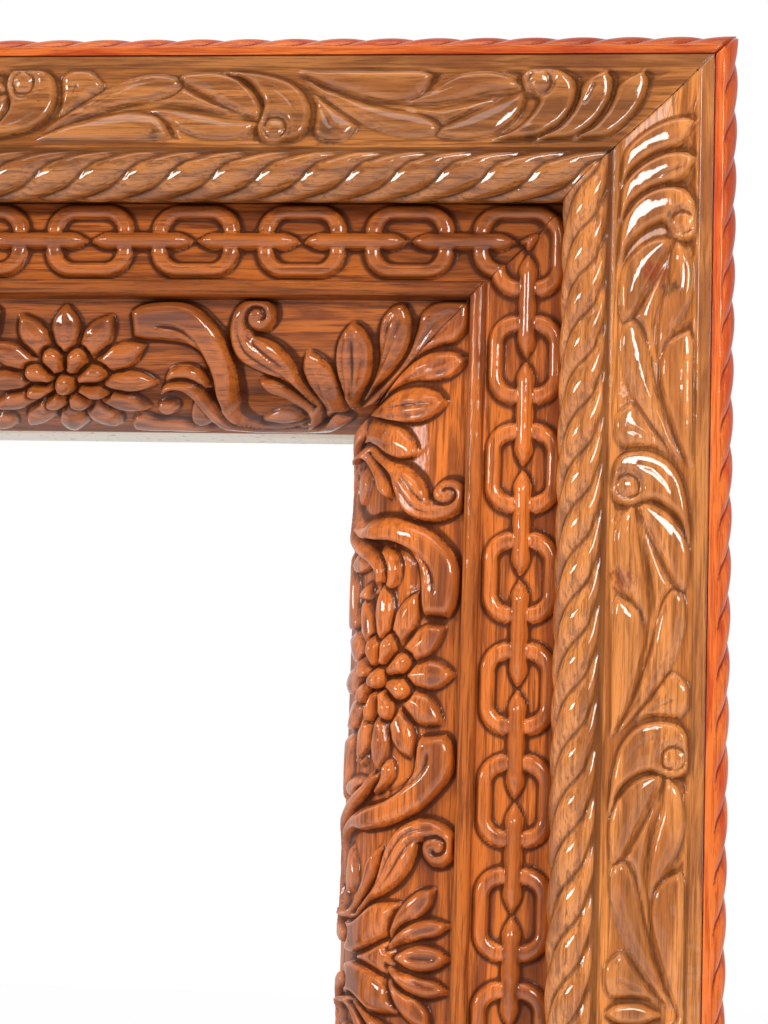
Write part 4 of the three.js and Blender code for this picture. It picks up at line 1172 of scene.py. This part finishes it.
def strip_runs():
    """The closed section of a rope strip, from its back inner edge outward and round to the front."""
    outer = STRIP_FACE - STRIP_FILLET
    back = stations([(STRIP_FACE, STRIP_BACK), (outer, STRIP_BACK), (outer, -STRIP_HEIGHT - 0.2)], 4.0)
    angle = np.linspace(0, np.pi - STRIP_SHOULDER, 30)
    full = 1 - (1 - np.cos(STRIP_SHOULDER)) / 2
    half_round = np.stack([
        outer - STRIP_BULGE * (np.sin(angle) - np.sin(STRIP_SHOULDER) * angle / angle[-1]) / STRIP_ROUNDNESS,
        -STRIP_HEIGHT * (1 - (1 - np.cos(angle)) / 2 / full),
    ], 1)
    half_round = evenly(half_round, 0.8)
    edge = STRIP_FACE - STRIP_GROOVE
    front = stations([(outer + 0.15, 0.0), (edge - 0.26, 0.0), (edge - 0.12, 0.0), (edge - 0.03, -0.03),
                      (edge, -0.12), (edge, -1.8), (STRIP_FACE, -1.9), (STRIP_FACE, STRIP_BACK + 3)], 1.2)
    return [
        section_run(back),
        section_run(half_round, normals(half_round), carve=strip_height,
                    across=np.linspace(0, 1, len(half_round)), dip=strip_dip),
        section_run(front),
    ]


for side, shade in STRIP_TONE_AND_SHADE.items():
    strip = rail_piece("carved_rope_strip_" + side, side, strip_runs(), STRIP_ROW_STEP, STRIP_GAP)
    strip.data.materials.append(carved_wood("rope_strip_red_wood_" + side, STRIP_WOOD, STRIP_BACK, shade,
                                            gloss=0.6))
    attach(strip, "frame")
    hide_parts("outer_rope_strip_" + side)


# Side rails and back laths
# Behind the outer boards, four deep rails of sawn softwood make the frame's box, nailed and glued from
# inside.  Four thinner laths behind the flower boards leave the rebate for the glass and the picture, and
# their front edge shows inside the sight opening as a pale line.  None of it is varnished.

# The light and middle tones are near white: partly the pale sawn wood, partly painted light for the glow the
# white floor throws up onto the laths
SAWN_WOOD_AND_GLOW = {"light": (0.96, 0.91, 0.84), "middle": (0.86, 0.76, 0.65), "dark": (0.30, 0.18, 0.10)}


def sawn_wood(name, along):
    """Bare sawn softwood.  Broad growth rings and fine grain run along x or z, the saw left faint lines
    across them, and the face is sprinkled with small dark specks."""
    finish = Finish(name)
    place = finish.add("ShaderNodeTexCoord", 3)

    def scaled(lengthwise, crosswise):
        """Object coordinates, stretched along the grain."""
        scale = [crosswise] * 3
        scale["xyz".index(along)] = lengthwise
        return finish.stretch(place, scale)

    rings = finish.noise(scaled(4.0, 60.0), 1.0, 3.0, 0.5, 0.6)
    grain = finish.noise(scaled(30.0, 900.0), 1.0, 3.0, 0.6, 0.2)
    saw = finish.noise(scaled(900.0, 25.0), 1.0, 2.0, 0.5)
    specks = finish.noise(scaled(260.0, 700.0), 1.0, 1.0, 0.4)
    tone = finish.mix(finish.ramp(rings, 0.42, 0.60), SAWN_WOOD_AND_GLOW["light"], SAWN_WOOD_AND_GLOW["middle"])
    tone = finish.mix(finish.ramp(grain, 0.50, 0.68, 0.0, 0.5), tone, SAWN_WOOD_AND_GLOW["middle"])
    tone = finish.mix(finish.ramp(saw, 0.55, 0.70, 0.0, 0.08), tone, SAWN_WOOD_AND_GLOW["dark"])
    tone = finish.mix(finish.ramp(specks, 0.70, 0.74, 0.0, 0.9), tone, SAWN_WOOD_AND_GLOW["dark"])
    normal = finish.bump(saw, 0.15, 0.0003)
    normal = finish.bump(grain, 0.30, 0.0002, normal)
    return finish.surface(tone, finish.ramp(grain, 0.3, 0.7, 0.72, 0.9), normal, Specular_IOR_Level=0.25)


def refinish(node, material):
    """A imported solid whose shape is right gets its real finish."""
    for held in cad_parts[node].material_slots:
        held.material = material


lying_wood = sawn_wood("sawn_wood_lying", "x")
standing_wood = sawn_wood("sawn_wood_standing", "z")
for side in BOARD_TONE_AND_SHADE:
    wood = lying_wood if side in ("top", "bottom") else standing_wood
    refinish("side_rail_" + side, wood)
    refinish("back_lath_" + side, wood)


# Corner gussets
# A triangle of three-ply is glued across each corner at the back and holds the mitre shut.  Its two faces
# show the veneer's wavy grain, and its edges the dark glue lines and the cross-laid middle ply.

PLY_FRONT = -5.7
PLY_BACK = -3.1
GLUE_TONE = (0.10, 0.05, 0.025)
PLY_WOOD = {"light": (0.74, 0.56, 0.36), "middle": (0.60, 0.41, 0.23), "dark": (0.30, 0.17, 0.08)}


def plywood(name):
    """Three-ply.  The depth inside the board tells the plies apart: the middle third is darker end grain,
    between two thin glue lines."""
    finish = Finish(name)
    place = finish.add("ShaderNodeTexCoord", 3)
    depth = finish.add("ShaderNodeSeparateXYZ", 1, None, Vector=place)
    middle = (PLY_FRONT + PLY_BACK) / 2000.0
    share = finish.math("DIVIDE", finish.math("ABSOLUTE", finish.math("SUBTRACT", depth, middle)),
                        (PLY_BACK - PLY_FRONT) / 2000.0)
    veneer = finish.noise(finish.stretch(place, (7.0, 7.0, 55.0)), 1.0, 3.0, 0.55, 1.2)
    fibres = finish.noise(finish.stretch(place, (60.0, 900.0, 1100.0)), 1.0, 3.0, 0.6)
    tone = finish.mix(finish.ramp(veneer, 0.40, 0.62), PLY_WOOD["light"], PLY_WOOD["middle"])
    tone = finish.mix(finish.ramp(fibres, 0.52, 0.70, 0.0, 0.55), tone, PLY_WOOD["dark"])
    core = finish.mix(finish.ramp(fibres, 0.4, 0.6), PLY_WOOD["middle"], PLY_WOOD["dark"])
    tone = finish.mix(finish.ramp(share, 0.40, 0.34), tone, core)
    line = finish.math("COMPARE", share, 0.40)
    line.node.inputs[2].default_value = 0.05
    tone = finish.mix(line, tone, GLUE_TONE)
    normal = finish.bump(fibres, 0.35, 0.0002)
    return finish.surface(tone, finish.ramp(veneer, 0.3, 0.7, 0.62, 0.8), normal, Specular_IOR_Level=0.3)


gusset_wood = plywood("three_ply")
for corner in ("top_right", "top_left", "bottom_right", "bottom_left"):
    refinish("corner_gusset_" + corner, gusset_wood)


# Turn buttons
# Four flat brass buttons hold the picture's back.  Each is stamped from sheet, with round ends and edges
# broken by tumbling, and turns on one round-headed slotted screw.

BUTTON_LENGTH = 40.0
BUTTON_WIDTH = 14.0
BUTTON_FRONT = -5.7
BUTTON_BACK = -3.5
BUTTON_BORE = 2.15
BUTTON_EDGE = 0.5
BUTTON_FROM_SIGHT = 23.0
MIDDLE_Z = BOARD_TOP - BOARD_HEIGHT / 2
BUTTONS = {
    "top": (0.0, MIDDLE_Z + SIGHT_HEIGHT / 2 + BUTTON_FROM_SIGHT, True),
    "bottom": (0.0, MIDDLE_Z - SIGHT_HEIGHT / 2 - BUTTON_FROM_SIGHT, True),
    "right": (SIGHT_WIDTH / 2 + BUTTON_FROM_SIGHT, MIDDLE_Z, False),
    "left": (-SIGHT_WIDTH / 2 - BUTTON_FROM_SIGHT, MIDDLE_Z, False),
}
BRASS = {"light": (0.83, 0.63, 0.30), "middle": (0.68, 0.48, 0.20), "dark": (0.30, 0.19, 0.08)}


def brass(name, polish):
    """Old brass: brown clouds of tarnish, fine scratches both ways, and a smoother look where it is
    handled.  polish is how little tarnish there is, from 0 to 1."""
    finish = Finish(name)
    place = finish.add("ShaderNodeTexCoord", 3)
    clouds = finish.noise(place, 160.0, 4.0, 0.6)
    drawn = finish.noise(finish.stretch(place, (250.0, 3500.0, 3500.0)), 1.0, 2.0, 0.5)
    rubbed = finish.noise(finish.stretch(place, (3200.0, 3200.0, 260.0)), 1.0, 2.0, 0.5)
    tone = finish.mix(finish.ramp(clouds, 0.40, 0.62), BRASS["light"], BRASS["middle"])
    tone = finish.mix(finish.ramp(clouds, 0.45 + 0.15 * polish, 0.75, 0.0, 0.8), tone, BRASS["dark"])
    tone = finish.mix(finish.ramp(drawn, 0.56, 0.72, 0.0, 0.35), tone, BRASS["dark"])
    roughness = finish.ramp(clouds, 0.35, 0.70, 0.24, 0.50)
    normal = finish.bump(drawn, 0.18, 0.0001)
    normal = finish.bump(rubbed, 0.12, 0.0001, normal)
    return finish.surface(tone, roughness, normal, Metallic=1.0)


def closed_loops(name, loops):
    """A closed surface from a grid of points, loops x points x 3 in millimetres: every loop joins the next,
    the last joins the first, and each loop is closed in itself.  Faces are turned outward."""
    rows, columns = loops.shape[:2]
    index = np.arange(rows * columns).reshape(rows, columns)
    beyond = np.roll(index, -1, axis=0)
    quads = np.stack([index, np.roll(index, -1, axis=1), np.roll(beyond, -1, axis=1), beyond], -1)
    return mesh_piece(name, loops.reshape(-1, 3) / 1000.0, quads.reshape(-1, 4), np.zeros((0, 3), int), {})


def plate_outline(length, width, count):
    """A bar with round ends: a circle as wide as the bar, its two halves moved apart."""
    outline = circle((0, 0), width / 2, count)
    aside = outline[:, 0] / (width / 2)
    outline[:, 0] += (length - width) / 2 * np.sign(aside) * np.minimum(np.abs(aside) * 6, 1)
    return outline


def turn_button(side, x, z, lying):
    """The plate as a ring of loops from the bore over the front, round the edge and back over the back to
    the bore.  Every loop lies between the bore's circle and the outline."""
    count = 96
    outline = plate_outline(BUTTON_LENGTH, BUTTON_WIDTH, count)
    bore = circle((0, 0), BUTTON_BORE, count)
    thickness = BUTTON_BACK - BUTTON_FRONT
    inward = BUTTON_EDGE * outline / np.hypot(*outline.T)[:, None]
    front, back = [(bore, 0.0), (outline - inward, 0.0)], [(bore, thickness), (outline - inward, thickness)]
    for angle in np.radians((30, 60, 90)):
        rounded = outline - (1 - math.sin(angle)) * inward
        level = BUTTON_EDGE * (1 - math.cos(angle))
        front.append((rounded, level))
        back.append((rounded, thickness - level))
    stages = front + back[::-1]
    loops = np.zeros((len(stages), count, 3))
    for row, (shape, level) in enumerate(stages):
        along, across = shape.T
        loops[row, :, 0] = x + (along if lying else across)
        loops[row, :, 1] = BUTTON_FRONT + level
        loops[row, :, 2] = z + (across if lying else along)
    return closed_loops("brass_turn_button_" + side, loops)


SCREW_HEAD = 3.6
SCREW_RISE = 1.5
SCREW_SLOT = 0.42
SCREW_SLOT_DEPTH = 0.75
SCREW_CORE = 1.45
SCREW_DEPTH = 9.6
THREAD_RISE = 0.28
THREAD_PITCH = 1.6
SHANK_ROWS = 48
SHANK_SIDES = 16


def tube_quads(index):
    """The faces between each two neighbouring rows of a grid of point numbers, closed round each row."""
    ahead = np.roll(index, -1, axis=1)
    return np.stack([index[:-1], ahead[:-1], ahead[1:], index[1:]], -1).reshape(-1, 4)


def end_fan(row, hub):
    """Triangles from a row of point numbers to one point in its middle."""
    return np.stack([np.roll(row, -1), row, np.full(len(row), hub)], -1)


def round_screw(name, x, z, seat, turned):
    """A round-headed screw.  The head's grid runs across the slot in one direction, closer at the slot's
    two edges, and along it in the other: x = u times the half chord, height = an ellipse over the radius,
    less the slot's depth.  The shank is a revolved line with a thread, joined on as its own closed skin."""
    slot = SCREW_SLOT / SCREW_HEAD
    beside = np.linspace(slot + 0.01, 1, 12)
    across = np.concatenate([-beside[::-1], np.linspace(-0.9 * slot, 0.9 * slot, 5), beside])
    along = np.sin(np.linspace(-np.pi / 2, np.pi / 2, 21))
    v, u = np.meshgrid(across, along, indexing="ij")
    flat_u = u * np.sqrt(np.maximum(1 - v**2, 1e-6))
    radius = np.minimum(np.hypot(flat_u, v), 1)
    height = SCREW_RISE * np.sqrt(1 - radius**2)
    height = np.where(np.abs(v) < slot, np.minimum(height, SCREW_RISE - SCREW_SLOT_DEPTH), height)
    angle = math.radians(turned)
    px = SCREW_HEAD * (flat_u * math.cos(angle) - v * math.sin(angle))
    pz = SCREW_HEAD * (flat_u * math.sin(angle) + v * math.cos(angle))
    top = np.stack([x + px, seat + height, z + pz], -1)
    under = np.stack([x + px, np.full_like(px, seat - 0.02), z + pz], -1)
    loops = np.concatenate([top, under[:, ::-1]], axis=1)
    head = np.arange(loops[..., 0].size).reshape(loops.shape[:2])
    turns = np.linspace(0, 2 * np.pi, SHANK_SIDES, endpoint=False)
    drop = np.linspace(0, SCREW_DEPTH, SHANK_ROWS)[:, None]
    thread = THREAD_RISE * np.maximum(np.cos(turns[None, :] - 2 * np.pi * drop / THREAD_PITCH), 0) ** 3
    core = np.minimum(SCREW_CORE, (SCREW_DEPTH - drop) * 0.55 + 0.05)
    reach = core + thread * np.clip((SCREW_DEPTH - drop) / 2, 0, 1)
    shank = np.stack([x + reach * np.cos(turns), seat - drop + 0 * turns, z + reach * np.sin(turns)], -1)
    body = head.size + np.arange(SHANK_ROWS * SHANK_SIDES).reshape(SHANK_ROWS, SHANK_SIDES)
    ends = np.array([[x, seat, z], [x, seat - SCREW_DEPTH - 0.1, z]])
    first = head.size + body.size
    fans = np.vstack([end_fan(body[0], first), end_fan(body[-1], first + 1)[:, [1, 0, 2]]])
    points = np.vstack([loops.reshape(-1, 3), shank.reshape(-1, 3), ends]) / 1000.0
    return mesh_piece(name, points, np.vstack([tube_quads(head), tube_quads(body)]), fans, {})


button_brass = brass("button_brass", 0.5)
screw_brass = brass("screw_brass", 0.9)
for side, (x, z, lying) in BUTTONS.items():
    button = turn_button(side, x, z, lying)
    button.data.materials.append(button_brass)
    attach(button, "turn_button_" + side)
    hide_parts("turn_button_" + side)
    screw = round_screw("brass_button_screw_" + side, x, z, BUTTON_BACK + 0.1, 25.0 + x / 3)
    screw.data.materials.append(screw_brass)
    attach(screw, "frame")
    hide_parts("button_screw_" + side)


# Strap hangers and their rings
# In the upper part of each side lath a strap of sheet brass is folded round the straight side of a wire ring,
# and two screws hold it to the wood.  The ring is bent into a D and swings in the fold.

HANGER_X = 258.25
HANGER_Z = -170.0
STRAP_LENGTH = 34.0
STRAP_WIDTH = 13.0
STRAP_MIDDLE = -5.02
STRAP_THICKNESS = 1.3
STRAP_CORNER = 0.35
STRAP_SEAT = -4.25
EYE_DEPTH = -2.75
EYE_TURN = 2.27
STRAP_SCREWS = {"upper": HANGER_Z - 10.0, "lower": HANGER_Z - 28.0}
RING_WIRE = 1.3
RING_HALF_WIDTH = 10.5
RING_DROP = 22.0


def strap_hanger(side, x):
    """A flat section carried up the back of the lath and round the eye, three quarters of a circle.  It
    narrows to nothing over the last half width, like a half circle."""
    up = np.linspace(0, 1, 25) ** 1.3 * STRAP_LENGTH
    straight = np.stack([np.full_like(up, STRAP_MIDDLE), HANGER_Z - STRAP_LENGTH + up], 1)
    curl = np.radians(np.linspace(180, -95, 30))[1:]
    eye = np.stack([EYE_DEPTH + EYE_TURN * np.cos(curl), HANGER_Z + EYE_TURN * np.sin(curl)], 1)
    path = np.vstack([straight, eye])
    out = normals(path)
    risen = np.clip((path[:, 1] - (HANGER_Z - STRAP_LENGTH)) / (STRAP_WIDTH / 2), 0, 1)
    risen[len(straight):] = 1
    half_width = STRAP_WIDTH / 2 * np.sqrt(np.maximum(1 - (1 - risen) ** 2, 0.002))
    section = np.array([
        (-1, -1, 0, 1), (-1, -1, 1, 0), (1, -1, -1, 0), (1, -1, 0, 1),
        (1, 1, 0, -1), (1, 1, -1, 0), (-1, 1, 1, 0), (-1, 1, 0, -1),
    ], float)
    across = section[:, 0] * half_width[:, None]
    across += section[:, 2] * np.minimum(STRAP_CORNER, half_width[:, None] / 2)
    thick = section[:, 1] * STRAP_THICKNESS / 2 + section[:, 3] * STRAP_CORNER
    loops = np.stack([
        x + across,
        path[:, :1] + out[:, :1] * thick,
        path[:, 1:] + out[:, 1:] * thick,
    ], -1)
    index = np.arange(loops[..., 0].size).reshape(loops.shape[:2])
    points = np.vstack([loops.reshape(-1, 3), loops[0].mean(0)[None], loops[-1].mean(0)[None]]) / 1000.0
    fans = np.vstack([end_fan(index[0], index.size), end_fan(index[-1], index.size + 1)[:, [1, 0, 2]]])
    return mesh_piece("brass_strap_hanger_" + side, points, tube_quads(index), fans, {})


def wire_ring(side, x):
    """A round wire carried round a D: a straight bar, two tight corners and a bow, the bow being
    z = -drop times the sine of the turn to the power 0.8."""
    bar = np.linspace(-0.96, 0.96, 14)
    turn = np.pi * np.linspace(0.0, 1.0, 62)[1:-1]
    bow_x = RING_HALF_WIDTH * np.cos(turn) * 1.01
    bow_z = -(RING_DROP - RING_WIRE) * np.sin(turn) ** 0.8
    path = np.vstack([
        np.stack([RING_HALF_WIDTH * bar, np.zeros_like(bar)], 1),
        np.stack([bow_x, bow_z], 1),
    ])
    for _ in range(2):
        path = (np.roll(path, 1, 0) + 2 * path + np.roll(path, -1, 0)) / 4
    way = np.roll(path, -1, 0) - np.roll(path, 1, 0)
    way /= np.hypot(way[:, 0], way[:, 1])[:, None]
    side_on = np.stack([way[:, 1], -way[:, 0]], 1)
    around = np.linspace(0, 2 * np.pi, 14, endpoint=False)
    loops = np.stack([
        x + path[:, :1] + RING_WIRE * side_on[:, :1] * np.cos(around),
        EYE_DEPTH + RING_WIRE * np.sin(around) + 0 * path[:, :1],
        HANGER_Z + path[:, 1:] + RING_WIRE * side_on[:, 1:] * np.cos(around),
    ], -1)
    return closed_loops("brass_wire_ring_" + side, loops)


hanger_brass = brass("hanger_brass", 0.3)
ring_brass = brass("ring_brass", 0.8)
for side, x in (("right", HANGER_X), ("left", -HANGER_X)):
    strap = strap_hanger(side, x)
    strap.data.materials.append(hanger_brass)
    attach(strap, "frame")
    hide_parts("strap_hanger_" + side)
    ring = wire_ring(side, x)
    ring.data.materials.append(ring_brass)
    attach(ring, "hanging_ring_" + side)
    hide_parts("hanging_ring_" + side)
    for row, z in STRAP_SCREWS.items():
        screw = round_screw(f"brass_strap_screw_{side}_{row}", x, z, STRAP_SEAT, 40.0 + z)
        screw.data.materials.append(screw_brass)
        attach(screw, "frame")
        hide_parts(f"strap_screw_{side}_{row}")


# Studio
# The frame stands upright on a white floor in a white room.  Soft boxes to the left and right of the camera
# give the varnish its bright patches, and a broad weak one overhead and the room's own light fill in.

CAMERA_PLACE = (0.37921, -1.17153, -0.33385)
CAMERA_TURN = (98.826, -1.875, 6.578)
CAMERA_LENS = 98.44
FLOOR_REACH = 20.0
FLOOR_GAP = 0.0005
FLOOR_GLOW = 0.75
ROOM_LIGHT = 0.56
ROOM_IN_FRONT = 0.28


def studio_camera():
    """The camera at the photograph's place and angle."""
    data = bpy.data.cameras.new("camera")
    data.lens = CAMERA_LENS
    data.sensor_width = 36.0
    data.sensor_fit = "AUTO"
    data.clip_start = 0.01
    camera = in_scene("camera", data)
    camera.location = CAMERA_PLACE
    camera.rotation_euler = [math.radians(angle) for angle in CAMERA_TURN]
    bpy.context.scene.camera = camera


def soft_box(name, place, aim, width, height, power):
    """A rectangular lamp turned to face a point."""
    data = bpy.data.lights.new(name, "AREA")
    data.shape = "RECTANGLE"
    data.size = width
    data.size_y = height
    data.energy = power
    lamp = in_scene(name, data)
    lamp.location = place
    lean = np.array(aim) - np.array(place)
    across = math.atan2(lean[1], lean[0])
    down = math.atan2(-lean[2], math.hypot(lean[0], lean[1]))
    lamp.rotation_euler = (math.pi / 2 - down, 0, across - math.pi / 2)
    lamp.visible_camera = False


def white_floor():
    """A wide white sheet under the frame.  Rays from the camera and from gloss see it nearly white, with a
    quarter of its real shading left in it."""
    z = float(cad_box[0][2]) - FLOOR_GAP
    corners = [(x * FLOOR_REACH, y * FLOOR_REACH, z) for x, y in ((-1, -1), (1, -1), (1, 1), (-1, 1))]
    mesh = bpy.data.meshes.new("floor")
    mesh.from_pydata(corners, [], [(0, 1, 2, 3)])
    floor = in_scene("floor", mesh)
    finish = Finish("white_floor")
    path = finish.tree.nodes.new("ShaderNodeLightPath")
    seen = finish.math("MAXIMUM", path.outputs["Is Camera Ray"], path.outputs["Is Glossy Ray"])
    finish.surface((0.88, 0.88, 0.87, 1.0), 0.9)
    glow = finish.add("ShaderNodeEmission", 0, None, Color=(1.0, 1.0, 1.0, 1.0), Strength=1.15)
    both = finish.add("ShaderNodeMixShader", 0, None, i0=finish.math("MULTIPLY", seen, FLOOR_GLOW),
                      i1=finish.shader.outputs[0], i2=glow)
    finish.tree.links.new(both, finish.tree.nodes["Material Output"].inputs["Surface"])
    mesh.materials.append(finish.material)


def white_room():
    """The room: white where the camera or glass looks at it and where gloss reflects the side behind the
    frame, dimmer where gloss reflects the side of the camera, and an even soft light on everything."""
    world = bpy.data.worlds.new("room")
    world.use_nodes = True
    tree = world.node_tree
    path = tree.nodes.new("ShaderNodeLightPath")
    way = tree.nodes.new("ShaderNodeTexCoord")
    split = tree.nodes.new("ShaderNodeSeparateXYZ")
    tree.links.new(way.outputs["Generated"], split.inputs[0])
    behind = tree.nodes.new("ShaderNodeMapRange")
    for key, value in (("From Min", -0.3), ("From Max", 0.3), ("To Min", ROOM_IN_FRONT), ("To Max", 1.0)):
        behind.inputs[key].default_value = value
    tree.links.new(split.outputs["Y"], behind.inputs["Value"])
    strength = ROOM_LIGHT
    rays = {"Is Glossy Ray": behind.outputs[0], "Is Transmission Ray": 1.0, "Is Camera Ray": 1.0}
    for ray, value in rays.items():
        mix = tree.nodes.new("ShaderNodeMix")
        tree.links.new(path.outputs[ray], mix.inputs[0])
        join(tree, strength, mix.inputs[2])
        join(tree, value, mix.inputs[3])
        strength = mix.outputs[0]
    tree.links.new(strength, tree.nodes["Background"].inputs["Strength"])
    tree.nodes["Background"].inputs["Color"].default_value = (1.0, 1.0, 1.0, 1.0)
    bpy.context.scene.world = world


studio_camera()
white_floor()
white_room()
soft_box("left_box", (-1.25, -1.20, 0.31), (0.20, 0, -0.20), 0.55, 0.32, 11.5)
soft_box("right_box", (0.78, -1.20, 0.30), (0.25, 0, -0.25), 0.50, 0.32, 9.5)
soft_box("top_box", (0.10, -0.75, 1.25), (0.10, 0, -0.30), 1.2, 0.7, 6)
bpy.context.scene.view_settings.view_transform = "Standard"
